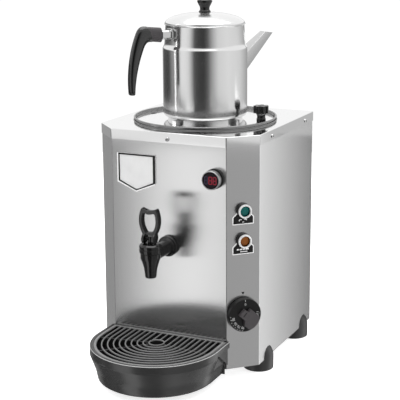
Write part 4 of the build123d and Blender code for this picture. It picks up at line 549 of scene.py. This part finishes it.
# sleeve is the sleeve's size against the grip's; squareness of 1 is an oval and 0 a rectangle
handle = {"halfThick": 8.0, "tipThick": 7.0, "sleeve": 0.95, "squareness": 0.86, "gripStart": 6, "sleeveEnd": 9}
outerRun = bow((83, 549.7), ((96, 550.9), (106, 552.0), (112, 552.4), 8),
               ((120.4, 553.4), (124.2, 548.6), (127.5, 541), 10), ((138.4, 516), (144.4, 482), (141.3, 446.4), 22))
innerRun = bow((83, 524.8), ((90, 525.6), (97, 526.4), (102, 527.0), 8),
               ((109.5, 527.8), (112.6, 522.5), (115.2, 516.5), 10), ((124.4, 494), (130.6, 470), (131.8, 446), 22))
handlePlace = potBack @ upright


def gripSection(bm, outer, inner, thick, size=1.0):  # an oval across the handle, and its edges
    centre, reach = (outer + inner) / 2 * mm, (outer - inner) / 2 * mm * size
    made = bmesh.ops.create_circle(bm, cap_ends=False, segments=32, radius=1.0)
    for vert in made["verts"]:
        vert.co = Vector([copysign(abs(c) ** handle["squareness"], c) for c in vert.co])
    sideways = Vector((0, 0, thick * mm * size))
    shape = Matrix((reach, sideways, reach.cross(Vector((0, 0, 1))))).transposed().to_4x4()
    bmesh.ops.transform(bm, matrix=handlePlace @ Matrix.Translation(centre) @ shape, verts=made["verts"])
    return list({e for v in made["verts"] for e in v.link_edges})


def lofted(sections):  # sections are (outer, inner, half thickness, size)
    bm = bmesh.new()
    rings = [gripSection(bm, *section) for section in sections]
    for first, second in zip(rings, rings[1:]):
        bmesh.ops.bridge_loops(bm, edges=first + second)
    bmesh.ops.holes_fill(bm, edges=[e for e in bm.edges if e.is_boundary], sides=0)
    return bm


def nudged(pair, x, y):
    return [point + Vector((x, y, 0)) for point in pair]


halfThick, tipThick, sleeve = handle["halfThick"], handle["tipThick"], handle["sleeve"]
pairs = [(Vector(outer), Vector(inner)) for outer, inner in zip(outerRun, innerRun)]
gripRun = pairs[handle["gripStart"]:]
thickAt = [halfThick - (halfThick - tipThick) * (k / (len(gripRun) - 1)) ** 2 for k in range(len(gripRun))]
gripSections = [(*gripRun[0], halfThick, 0.86)] + [(*pair, thickness) for pair, thickness in zip(gripRun, thickAt)]
for down, size in ((1.3, 0.9), (2.2, 0.68), (2.6, 0.35)):  # the rounded tip
    gripSections.append((*nudged(gripRun[-1], 0, -down), tipThick, size))
sleeveSections = [(*pairs[0], halfThick, 0.82), (*nudged(pairs[0], 0.8, 0), halfThick, sleeve)]
sleeveSections += [(*pair, halfThick, sleeve) for pair in pairs[1:handle["sleeveEnd"]]]
handleParts = [(lofted(gripSections), handleGloss), (lofted(sleeveSections), gripPlastic)]
addPiece("teapotHandle", "teapot", handleParts, "teapot_handle", sharp=50)
print("teapot made")

tap = {"nozzleFoot": 178, "shankZ": 212.3, "bonnetZ": 224, "pinZ": 239.8, "collar": 17.35, "bore": 6}
foot, seat, collar, bore = tap["nozzleFoot"], tap["bonnetZ"], tap["collar"], tap["bore"]
nozzle = [(6.5, foot, 0), (8, foot, 0.4), (8.7, foot + 1, 0.3)]
nozzle += bow((10.1, 191), ((10.8, 195.5), (13.4, 203.6), (15.7, 209.5), 8))
nozzle += [(15.7, seat - 7, 0.3), (collar, seat - 5.5, 0.5), (collar, seat, 0.5), (12, seat, 0), (12, seat - 18, 0),
           (5, seat - 18, 0), (5, seat - 23, 0)]
shank = [(bore, -24, 0), (10, -24, 0.5), (10, 1.2, 0), (16.75, 1.2, 0.4), (16.75, 7.2, 1.8), (13.6, 7.8, 0.8),
         (13.2, 9.5, 0.6), (11.4, 10.2, 0.6), (11.4, 52, 0), (bore, 52, 0)]
tapShapes = [(turned(nozzle, tapPlace), blackGloss), (turned(shank, onFront(0, tap["shankZ"])), blackGloss)]
addPiece("tapBody", "urn_body", tapShapes, "tap_body")
bonnet = [(4, seat + 2, 0), (9.2, seat + 2, 0), (9.2, seat - 4.5, 0), (11.9, seat - 4.5, 0), (11.9, seat, 0),
          (17, seat, 0.5), (17.3, seat + 1.4, 0.4), (17.3, seat + 5.4, 0.9), (14, seat + 8.5, 1.2),
          (4, seat + 8.5, 0.3)]
addPiece("tapBonnet", "urn_body", [(turned(bonnet, tapPlace), blackGloss)], "tap_bonnet")

lever = {"halfThick": 5, "prong": 4, "prongs": (6.5, -10.5), "saddle": (21, 10, 4.5), "saddleUp": 8.1}
loopOuter = bow((10.5, 246.8), ((14.4, 252.6), (17.1, 260), (17.1, 268.4), 10),
                ((17.1, 276), (15.6, 281.6), (13.2, 286.4), 8))
loopOuter += bow((12.2, 287.6), ((8.4, 286.4), (5, 284.4), (0, 284.2), 7))
eye = bow((4.6, 249.3), ((8.2, 254), (11.4, 260.5), (11.4, 268.4), 10), ((11.4, 273), (10.6, 276.6), (9.3, 279.4), 8))
eye += bow((8.2, 280), ((5.6, 279.4), (3, 278.5), (0, 278.4), 7))
prongOutline = [(-4.5, -7, 2.9), (0, -7, 2.9), (5, -5, 2.9), (7, 0, 2.5), (6.4, 4.5, 2), (5, 9, 0.8), (-5, 9, 0.8),
                (-9.6, 4.8, 2), (-11.5, 0, 2.5), (-9.5, -5, 2.9)]


def mirroredLoop(half):  # the right half, then its mirror image back down
    return [(x, y, 0) for x, y, _ in half] + [(-x, y, 0) for x, y, _ in reversed(half[:-1])]


lyre = ringPressed(mirroredLoop(loopOuter), mirroredLoop(eye), -lever["halfThick"], lever["halfThick"],
                   tapPlace @ upright, edge=2.1, edgeSteps=5)
acrossTap = tapPlace @ shifted(0, 0, tap["pinZ"]) @ rotated(90) @ upright
saddle = bar(lever["saddle"], (0, 0, tap["pinZ"] + lever["saddleUp"]), tapPlace, edge=1.2)
leverParts = [(lyre, blackGloss), (saddle, blackGloss)]
for low in lever["prongs"]:
    prong = pressed(prongOutline, low, low + lever["prong"], acrossTap, edge=0.8, bothEdges=True)
    leverParts.append((prong, blackGloss))
addPiece("tapLever", "tap_lever", leverParts, "tap_lever", sharp=45)
print("tap made")

tray = {"foot": 12, "footRadius": 93, "bend": (96.5, 30), "side": 98, "radius": 105, "lip": 99.7, "ledge": 64.6,
        "top": 67, "wall": 2.6, "gap": 0.3, "back": (194, 2.5, 54.6), "gusset": (34, 26.5), "gussetX": (97.5, 101.8),
        "hook": (24, 18, 3), "hookX": 60, "hookZ": 50}
trayBack = frontY - tray["gap"]
foot, wall, top, ledge, lip = tray["foot"], tray["wall"], tray["top"], tray["ledge"], tray["lip"]
radius, footRadius, side, (bendX, bendZ) = tray["radius"], tray["footRadius"], tray["side"], tray["bend"]
frontWall = [
    (0, foot, 0), (footRadius, foot, 3), (bendX, bendZ, 4), (105.4, 54, 0.6), (105.4, 55.2, 0.3), (radius, 55.9, 0.3),
    (radius, top, 1.2), (lip, top, 0.7), (lip, ledge, 0), (97.2, ledge, 0), (97.2, ledge - 20, 0),
    (bendX - wall, bendZ, 0), (footRadius - wall, foot + wall, 2), (0, foot + wall, 0),
]
sideWall = [
    (footRadius, foot, 2), (bendX, bendZ, 3), (side, 34.5, 1), (side, 57, 0), (radius, 57, 0.8), (radius, top, 1.2),
    (lip, top, 0.7), (lip, ledge, 0), (side - wall, ledge, 0), (side - wall, 36, 0), (bendX - wall, bendZ, 0),
    (footRadius - wall, foot + wall, 2),
]
# a thin strip on the rim's outer top corner, in the pale plastic: a painted highlight
rimHighlightStrip = [(radius - 1, top - 0.8, 0.3), (radius - 0.05, top - 1.4, 0.3), (radius, top - 0.4, 0.3),
           (radius - 0.7, top, 0.3)]
trayChannel = [(-x, z, soft) for x, z, soft in sideWall] + [(x, z, soft) for x, z, soft in reversed(sideWall)]
channel = pressed(trayChannel, 0, trayY - trayBack, trayPlace @ upright)
backThick, backHigh = tray["back"][1:]
trayShapes = [(swept(rimHighlightStrip, trayBack - 0.2), trayEdgeHighlight), (swept(frontWall), trayPlastic), (channel, trayPlastic)]
backCentre = (0, trayBack - backThick / 2, foot + 0.3 + backHigh / 2)
trayShapes.append((bar(tray["back"], backCentre, edge=0.3), trayPlastic))
gussetLong, gussetHigh = tray["gusset"]
gusset = [(0, 57.5, 0), (0, 54.5 - gussetHigh, 0.6), (gussetLong, 54.5, 1), (gussetLong, 57.5, 0)]
gussetPlace = shifted(0, trayBack, 0) @ rotated(-90) @ upright
for way in (-1, 1):
    low, high = sorted(-way * x for x in tray["gussetX"])
    trayShapes.append((pressed(gusset, low, high, gussetPlace, edge=0.5), trayPlastic))
    hookCentre = (way * tray["hookX"], trayBack - 8.9, tray["hookZ"])
    trayShapes.append((bar(tray["hook"], hookCentre), trayPlastic))
addPiece("dripTray", "drip_tray", trayShapes, "drip_tray")

# half-round slots between rings, held by bars towards the body and thin ties underneath
grill = {"hub": 13.0, "hole": 11.0, "pitch": 9.3, "slot": 7.2, "rings": 9, "radius": 99.4, "gap": 3.1, "z": 64.7,
         "height": 2.1, "round": 0.85, "backBar": 3.2, "bar": (2.1, 2.05), "tie": (2.4, 0.7), "tieLap": 0.6,
         "bars": ((-10.6, 5.6), (0, 12), (10.6, 5.6)), "ties": (-8, -45, -90, -135, -172)}
grillBack = frontY - grill["gap"]
hub, ribLow, ribTop = grill["hub"], grill["z"], grill["z"] + grill["height"]
ribs = []
for ring in range(1, grill["rings"] + 1):
    inner = hub + grill["slot"] + grill["pitch"] * (ring - 1)
    outer = grill["radius"] if ring == grill["rings"] else hub + grill["pitch"] * ring
    rib = [(inner, ribLow, 0), (outer, ribLow, 0), (outer, ribTop, grill["round"]), (inner, ribTop, grill["round"])]
    ribs.append((swept(rib, grillBack - 0.2), grillHighlightPlastic))
hubRing = [(grill["hole"], ribLow, 0), (hub, ribLow, 0), (hub, ribTop, 0.8), (grill["hole"], ribTop, 0.8)]
ribs.append((turned(hubRing, trayPlace, 64), grillHighlightPlastic))
backSize = (2 * grill["radius"], grill["backBar"], grill["height"])
backCentre = (0, grillBack - grill["backBar"] / 2, grill["z"] + grill["height"] / 2)
ribs.append((bar(backSize, backCentre, edge=0.6), grillHighlightPlastic))
barWide, barHigh = grill["bar"]
for x, start in grill["bars"]:
    barCentre = (x, (trayY + start + grillBack) / 2, grill["z"] + 1.02)
    ribs.append((bar((barWide, grillBack - trayY - start, barHigh), barCentre, edge=0.7), grillHighlightPlastic))
tieWide, tieHigh = grill["tie"]
tieLong, tieStart = grill["radius"] - hub + grill["tieLap"], hub - grill["tieLap"]
tieCentre = (tieStart + tieLong / 2, 0, grill["z"] + tieHigh / 2 + 0.05)
for angle in grill["ties"]:
    tie = bar((tieLong, tieWide, tieHigh), tieCentre, trayPlace @ rotated(angle), edge=0.2)
    ribs.append((tie, trayPlastic))
addPiece("dripGrill", "drip_grill", ribs, "drip_grill")
print("drip tray made")

bulletFoot = {"radius": 24.5, "shoulder": 19.9, "height": 46, "bore": 7, "boreTop": 8, "screw": 3, "x": 122,
              "backs": (79, 243), "side": 139.3}


def footShapes(way, y, f):  # a disc under the body, and what of a dome stands outside the side panel
    radius, shoulder, bore = f["radius"], f["shoulder"], f["bore"]
    place = shifted(way * f["x"], y, 0)
    disc = [(bore, 0, 0), (radius - 0.5, 0, 0.6), (radius, 1, 0), (radius, shoulder, 0.3), (f["screw"], shoulder, 0),
            (f["screw"], f["boreTop"], 0), (bore, f["boreTop"], 0)]
    dome = [(0, shoulder, 0), (radius, shoulder, 0)]
    dome += bow((radius, shoulder + 1.1), ((radius, 34), (13, f["height"]), (0, f["height"]), 14))
    tongue = turned(dome, place, 64)
    bmesh.ops.recalc_face_normals(tongue, faces=tongue.faces[:])
    everything = tongue.verts[:] + tongue.edges[:] + tongue.faces[:]
    bmesh.ops.bisect_plane(tongue, geom=everything, dist=hair, plane_co=(way * f["side"] * mm, 0, 0),
                           plane_no=(-way, 0, 0), clear_outer=True)
    bmesh.ops.holes_fill(tongue, edges=[e for e in tongue.edges if e.is_boundary], sides=0)
    return [(turned(disc, place, 64), footPlastic), (tongue, footPlastic)]


for way, name, node in ((-1, "feetLeft", "left_feet"), (1, "feetRight", "right_feet")):
    feet = [shape for back in bulletFoot["backs"] for shape in footShapes(way, frontY + back, bulletFoot)]
    addPiece(name, "urn_body", feet, node)
print("feet made")

# digits are (segments shown, place across, finish); a segment is (across, up, whether it stands)
meter = {"barrel": 12.9, "bezel": 15, "reach": 16.2, "seat": 13, "pane": 15.3, "paneRadius": 13.4, "digitZ": 15.4,
         "digit": (4.9, 11.2), "stroke": 1.25, "gap": 0.4, "raised": 0.25}
shown = [("abcdefg", -7.6, digitDim), ("abcdefg", -0.3, digitRed), ("abcdefg", 6.9, digitRed)]
segments = {"a": (0, 1, 0), "b": (1, 0.5, 1), "c": (1, -0.5, 1), "d": (0, -1, 0), "e": (-1, -0.5, 1),
            "f": (-1, 0.5, 1), "g": (0, 0, 0)}
meterSpot = middle("thermometer_housing")
meterPlace = onFront(meterSpot.x, meterSpot.z)
barrelOut, bezel, seat = meter["barrel"], meter["bezel"], meter["seat"]
reach, pane, paneOut = meter["reach"], meter["pane"], meter["paneRadius"]
barrel = [(0, -22, 0), (barrelOut, -22, 0.5), (barrelOut, 3, 0), (14.4, 3, 0.3), (14.4, 6.4, 0.4), (13.8, 6.8, 0.2),
          (13.8, seat, 0.2), (0, seat, 0)]
ring = [(13, 7, 0), (bezel - 0.4, 7, 0.3), (bezel, 8.2, 0.4), (bezel, reach - 1, 0.8), (bezel - 0.8, reach, 0.5),
        (paneOut, reach - 0.3, 0.2), (13, seat + 0.1, 0)]
window = [(0, seat, 0), (paneOut, seat, 0), (paneOut, pane + 0.3, 0.3), (12.6, pane + 0.6, 0.2), (12, pane, 0.2),
          (0, pane, 0)]
wide, tall = meter["digit"]
digits = []
for lit, across, look in shown:
    for key in lit:
        aside, up, stands = segments[key]
        size = (meter["stroke"], tall / 2 - meter["gap"]) if stands else (wide - meter["gap"], meter["stroke"])
        centre = (across + aside * wide / 2, up * tall / 2, meter["digitZ"])
        digits.append((bar((*size, meter["raised"]), centre, meterPlace), look))
housing = [(turned(barrel, meterPlace), blackSatin), (turned(ring, meterPlace), bezelSatin)]
addPiece("thermometerHousing", "urn_body", housing, "thermometer_housing")
addPiece("thermometerWindow", "urn_body", [(turned(window, meterPlace), windowTint)], "thermometer_window")
addPiece("thermometerDigits", "urn_body", digits)

lamp = {"radius": 11.5, "barrel": 8, "behind": -26, "seat": 4.2, "reach": 11, "greenZ": 277.4, "amberZ": 229.6}
radius, barrelOut, behind, seat, reach = (lamp[key] for key in ("radius", "barrel", "behind", "seat", "reach"))
lampBarrel = [(0, behind, 0), (barrelOut, behind, 0.5), (barrelOut, 0, 0), (radius, 0, 0.3), (radius, 2.2, 0.5),
              (radius - 0.8, 2.9, 0.3), (radius - 0.8, 4.3, 0.3), (radius - 0.1, 5.0, 0.3), (radius - 0.1, 7.4, 0.3),
              (radius - 0.6, 8.2, 0), (8.6, 8.2, 0), (8.6, seat, 0), (0, seat, 0)]
lampRim = [(8.5, 8, 0), (radius - 0.5, 8, 0), (radius - 0.5, 9.6, 0.5), (10.2, reach, 0.8), (9, reach, 0.4),
           (8.4, 10.2, 0.2)]
lensShape = [(0, seat - 0.1, 0), (8.5, seat - 0.1, 0), (8.5, 5.0, 0.2), (6.9, 5.1, 0.1), (6.7, 6.4, 0.8),
             (4.8, 6.2, 0.6), (2.6, 6.7, 0.9), (0, 7.0, 0)]
bezels = []
for z in (lamp["greenZ"], lamp["amberZ"]):
    bezels += [(turned(lampBarrel, onCorner(z)), lampDark), (turned(lampRim, onCorner(z)), rimPale)]
addPiece("lampBezels", "urn_body", bezels, "lamp_bezels")
greenShape, amberShape = (turned(lensShape, onCorner(lamp[key])) for key in ("greenZ", "amberZ"))
addPiece("greenLampLens", "urn_body", [(greenShape, greenLens)], "green_lamp_lens")
addPiece("amberLampLens", "urn_body", [(amberShape, amberLens)], "amber_lamp_lens")

# the marks on the labels are plain bars, given as (size, centre)
label = {"half": 17.8, "drop": 22.5, "shoulder": 12, "rise": 19, "neck": 10.5, "rounding": 0.6, "border": 1.3,
         "thick": 0.55, "ink": 0.1}
greenMarks = [((3.6, 1.1), (-4.6, -14.6)), ((1.1, 2.6), (-6.6, -15.6)), ((3.6, 1.1), (3.6, -14.4)),
              ((1.1, 2.4), (5.2, -15.0)), ((3, 1.0), (0, -18.6))]
amberMarks = [((3.2, 2.2), (-9, -14.6)), ((4.6, 2.2), (-3.8, -14.6)), ((2.6, 2.2), (1.2, -14.6)),
              ((5.4, 2.2), (6.6, -14.6)), ((12, 1.3), (1, -18.4))]


def labelOutline(inset):
    low, soft = -label["drop"], label["rounding"]
    foot, shoulder, top = low + inset, low + label["shoulder"] - inset * 0.4, low + label["rise"] - inset
    half, neck = label["half"] - inset, label["neck"] - inset * 0.7
    return [(-half, foot, soft), (half, foot, soft), (half, shoulder, soft), (neck, top, soft), (-neck, top, soft),
            (-half, shoulder, soft)]


def labelPlate(z, marks):
    place, thick, ink = onCorner(z), label["thick"], label["ink"]
    shapes = [(pressed(labelOutline(0), 0, thick, place), labelWhite),
              (pressed(labelOutline(label["border"]), 0.3, thick + ink, place), labelBlack)]
    for size, centre in marks:
        shapes.append((bar((*size, ink), (*centre, thick + 0.14), place), labelWhite))
    return shapes


plates = labelPlate(lamp["greenZ"], greenMarks) + labelPlate(lamp["amberZ"], amberMarks)
addPiece("lampLabels", "urn_body", plates, "lamp_labels")
print("thermometer and lamps made")

# angles are in degrees from the dial's right side, against the clock
dial = {"z": 109.5, "radius": 27.2, "gap": 1.2, "face": 10.2, "spindle": 3.1, "gripTop": 17.2, "gripTurn": -43,
        "marker": 142.7, "numeral": 5.6, "numeralRaised": 0.12, "numeralAway": 20.0, "zeroAway": 18.2,
        "ticks": (90, 181, 192, 203, 215, 226, 237, 248, 258, 3), "longTicks": (90, 192), "tickAway": 25.7}
numerals = {"0": 90, "30": 192, "50": 215, "70": 237, "90": 258, "110": 3}
dialPlace = onCorner(dial["z"])
radius, gap, face, spindle = dial["radius"], dial["gap"], dial["face"], dial["spindle"]
skirt = [(spindle, gap, 0), (6, gap, 0), (6, 6.2, 0), (23, 6.2, 0), (23, gap, 0), (radius, gap, 0.5),
         (radius, face - 1.6, 0.5), (radius - 1, face - 0.2, 0.6), (0, face, 0), (0, face - 1, 0),
         (spindle, face - 1, 0)]
grip = [(-10.5, -6.5, 1), (-10.5, 6.5, 1), (-2.6, 6.9, 0.8), (-3, 13.2, 1.5), (17.2, 13.2, 2), (21.4, 8, 2),
        (22.8, 0, 2), (22.0, -7, 2), (18.2, -13.2, 2), (7, -13.2, 2), (2.6, -6.9, 1.2)]
gripPlace = dialPlace @ rotated(dial["gripTurn"])
knobShapes = [(turned(skirt, dialPlace, 128), blackSatin),
              (pressed(grip, face - 0.2, dial["gripTop"], gripPlace, edge=0.9), gripPlastic),
              (bar((1.6, 8, 0.25), (-4.6, 0.4, dial["gripTop"] + 0.05), gripPlace, edge=0.05), labelBlack)]
for text, angle in numerals.items():
    away = dial["zeroAway"] if text == "0" else dial["numeralAway"]
    place = dialPlace @ rotated(angle - 90) @ shifted(0, away, face + 0.05)
    knobShapes.append((lettering(text, dial["numeral"], dial["numeralRaised"], place), dialInk))
for angle in dial["ticks"]:
    tickLong = 3.2 if angle in dial["longTicks"] else 1.6
    tickCentre = (0, dial["tickAway"] - tickLong / 2, face - 0.08)
    knobShapes.append((bar((0.7, tickLong, 0.3), tickCentre, dialPlace @ rotated(angle - 90)), dialInk))
addPiece("thermostatKnob", "thermostat_knob", knobShapes, "thermostat_knob")
marker = pressed([(-2.6, 2.4, 0), (0, -2.3, 0), (2.6, 2.4, 0)], 0, 0.15, onCorner(dial["marker"]))
addPiece("dialMarker", "urn_body", [(marker, labelBlack)])
print("thermostat knob made")

# the cover's flange stands proud of the panels, and its screws stand on it
screw = {"shank": 1.9, "behind": -8, "head": 3.5, "high": 2.3, "slot": (3.4, 0.7, 0.3), "coverZ": 383.7,
         "coverBacks": (87.7, 239.3), "flange": 1, "backX": 131, "backHeights": (40, 205, 365)}
facing = {"front": 0, "right": 90, "back": 180, "left": -90}
shank, behind, head, high = screw["shank"], screw["behind"], screw["head"], screw["high"]
panHead = [(0, behind, 0), (shank, behind, 0.3), (shank, 0, 0), (head, 0, 0.2), (head - 0.1, 1.2, 0.5),
           (2.2, high - 0.1, 0.6), (0, high, 0)]


def panScrews(spots):  # spots are (x, y, z, the way the screw faces)
    shapes = []
    for x, y, z, way in spots:
        place = shifted(x, y, z) @ rotated(facing[way]) @ upright
        shapes.append((turned(panHead, place, 32), zincSteel))
        # the cross slot is two black bars in the head: painted shade where the slot's recess would be dark
        long, narrow, deep = screw["slot"]
        for size in ((long, narrow, deep), (narrow, long, deep)):
            shapes.append((bar(size, (0, 0, high - 0.05), place), labelBlack))
    return shapes


coverZ, flange = screw["coverZ"], screw["flange"]
coverSpots = [(0, frontY - flange, coverZ, "front"), (0, backY + flange, coverZ, "back")]
coverSpots += [(way * (urn["halfWidth"] + flange), frontY + back, coverZ, "right" if way > 0 else "left")
               for way in (-1, 1) for back in screw["coverBacks"]]
addPiece("coverScrews", "urn_body", panScrews(coverSpots), "cover_screws")
backSpots = [(way * screw["backX"], backY, z, "back") for way in (-1, 1) for z in screw["backHeights"]]
addPiece("backScrews", "urn_body", panScrews(backSpots), "back_panel_screws")
print("screws made")

# sizes are in metres from here on; hoodWay is where the dark hood over the front hangs
studio = {"floorRadius": 1.75, "floorZ": -0.0005, "floorGlow": 0.75, "white": 1.05, "horizon": (-0.06, 0.16),
          "hood": 0.62, "hoodWay": (0.43, -0.9, 0), "cardFoot": -0.5}
wallShades = [  # how bright the studio's walls are, going once round the part
    (0.0, 0.07), (0.02, 0.16), (0.04, 0.3), (0.06, 0.28), (0.085, 0.18), (0.105, 0.56), (0.13, 0.98), (0.16, 0.96),
    (0.19, 0.86), (0.215, 0.48), (0.235, 0.1), (0.27, 0.06), (0.31, 0.045), (0.34, 0.12), (0.38, 0.5), (0.42, 0.82),
    (0.5, 0.92), (0.62, 0.8), (0.68, 0.6), (0.75, 0.4), (0.87, 0.36), (0.905, 0.1), (0.97, 0.06),
]


def stagePlane(name, bm, material, onlyReflected=False):
    mesh = bpy.data.meshes.new(name)
    bm.to_mesh(mesh)
    bm.free()
    mesh.materials.append(material)
    plane = bpy.data.objects.new(name, mesh)
    bpy.context.scene.collection.objects.link(plane)
    plane.visible_glossy = onlyReflected
    if onlyReflected:
        plane.visible_camera = plane.visible_diffuse = plane.visible_shadow = plane.visible_transmission = False


def floorSurface(place):
    return {"Base Color": place.noise(3.0).blend(tone(0.87), tone(0.9))}


floorPaint = finish("floorPaint", floorSurface, Roughness=0.8, Emission_Color=(1, 1, 1, 1),
                    Emission_Strength=studio["floorGlow"])
floorDisc = bmesh.new()
bmesh.ops.create_circle(floorDisc, cap_ends=True, segments=96, radius=studio["floorRadius"],
                        matrix=Matrix.Translation((0, 0, studio["floorZ"])))
stagePlane("studioFloor", floorDisc, floorPaint)


def card(name, left, right, top, across, shades):  # an upright card, seen only in reflections, shaded across
    def surface(place):
        spot = place.make("ShaderNodeSeparateXYZ", {}, {0: place})
        along = (spot - across[0]) * (1 / (across[1] - across[0]))
        glow = place.make("ShaderNodeValToRGB", {"stops": shades}, {0: along})
        return {"Base Color": tone(0), "Emission Color": glow}

    paint = finish(name + "Paint", surface, Roughness=1.0, Emission_Strength=1.0, Specular_IOR_Level=0.0)
    foot, bm = studio["cardFoot"], bmesh.new()
    corners = [(*left, foot), (*right, foot), (*right, top), (*left, top)]
    bm.faces.new([bm.verts.new(corner) for corner in corners])
    stagePlane(name, bm, paint, onlyReflected=True)


card("frontCard", (-0.5, -0.375), (-0.03, -0.375), 0.31, (-0.29, -0.04),
     [(0.0, 0.12), (0.2, 0.28), (0.34, 0.7), (0.46, 1.22), (0.7, 1.4), (1.0, 1.54)])
card("cornerCard", (0.45, -0.5), (0.45, 0.05), 0.315, (0, 1), [(0.0, 0.44), (1.0, 0.44)])
card("sideCard", (0.08, 0.4), (0.85, 0.4), 0.312, (0.22, 0.46),
     [(0.0, 0.14), (0.33, 0.62), (0.5, 0.94), (0.7, 1.3), (0.85, 1.55), (1.0, 1.55)])
card("leftCard", (-0.42, -0.05), (-0.42, 0.4), 0.345, (-1, 0), [(0.0, 0.38), (1.0, 0.38)])

world = bpy.data.worlds.new("studio")
world.use_nodes = True
bpy.context.scene.world = world
tree = world.node_tree
direction = Wire(tree).make("ShaderNodeTexCoord", out=3)
around = direction.make("ShaderNodeTexGradient", {"gradient_type": "RADIAL"}, {"Vector": direction}, out=1)
walls = around.make("ShaderNodeValToRGB", {"stops": wallShades}, {0: around})
height = direction.make("ShaderNodeSeparateXYZ", {}, {0: direction}, out=2)
hoodWay = {0: direction, 1: studio["hoodWay"]}
ahead = direction.make("ShaderNodeVectorMath", {"operation": "DOT_PRODUCT"}, hoodWay, out=1)
lowered = height - studio["hood"] * ahead.sum("MAXIMUM", 0.0)
low, high = studio["horizon"]
above = lowered.make("ShaderNodeMapRange", {"interpolation_type": "SMOOTHSTEP"}, {0: lowered, 1: low, 2: high})
white = tone(studio["white"])
shade = direction.make("ShaderNodeLightPath").blend(above.blend(walls, white), white)  # the camera sees white
tree.links.new(shade.socket, tree.nodes["Background"].inputs["Color"])


def softBox(name, spot, aim, size, power):
    light = bpy.data.lights.new(name, "AREA")
    light.shape, light.size, light.size_y, light.energy = "RECTANGLE", size[0], size[1], power
    holder = bpy.data.objects.new(name, light)
    way = Vector(aim) - Vector(spot)
    holder.matrix_world = Matrix.Translation(spot) @ way.to_track_quat("-Z", "Y").to_matrix().to_4x4()
    bpy.context.scene.collection.objects.link(holder)


softBox("topLight", (0.1, 0.1, 2.2), (0.1, 0.1, 0), (2.0, 2.0), 30)
softBox("stripLight", (-1.16, -0.56, 0.75), (-0.06, -0.085, 0.75), (0.06, 1.5), 0.75)

# place is in mm, and focal is in pixels for a frame of this width
shot = {"place": (793.9, -1660.8, 722.4), "yaw": 24.966, "pitch": 11.852, "roll": -0.348, "focal": 1160.84,
        "width": 400, "sensor": 36, "shift": -0.1}
lens = bpy.data.cameras.new("studioCamera")
lens.sensor_width = shot["sensor"]
lens.lens = shot["focal"] / shot["width"] * shot["sensor"]
lens.shift_y = shot["shift"]
lens.clip_start, lens.clip_end = 0.05, 50
camera = bpy.data.objects.new("studioCamera", lens)
aim = rotated(shot["yaw"]) @ rotated(90 - shot["pitch"], "X") @ rotated(shot["roll"])
camera.matrix_world = shifted(*shot["place"]) @ aim
bpy.context.scene.collection.objects.link(camera)
bpy.context.scene.camera = camera
bpy.context.scene.view_settings.view_transform = "Standard"
print("studio set")
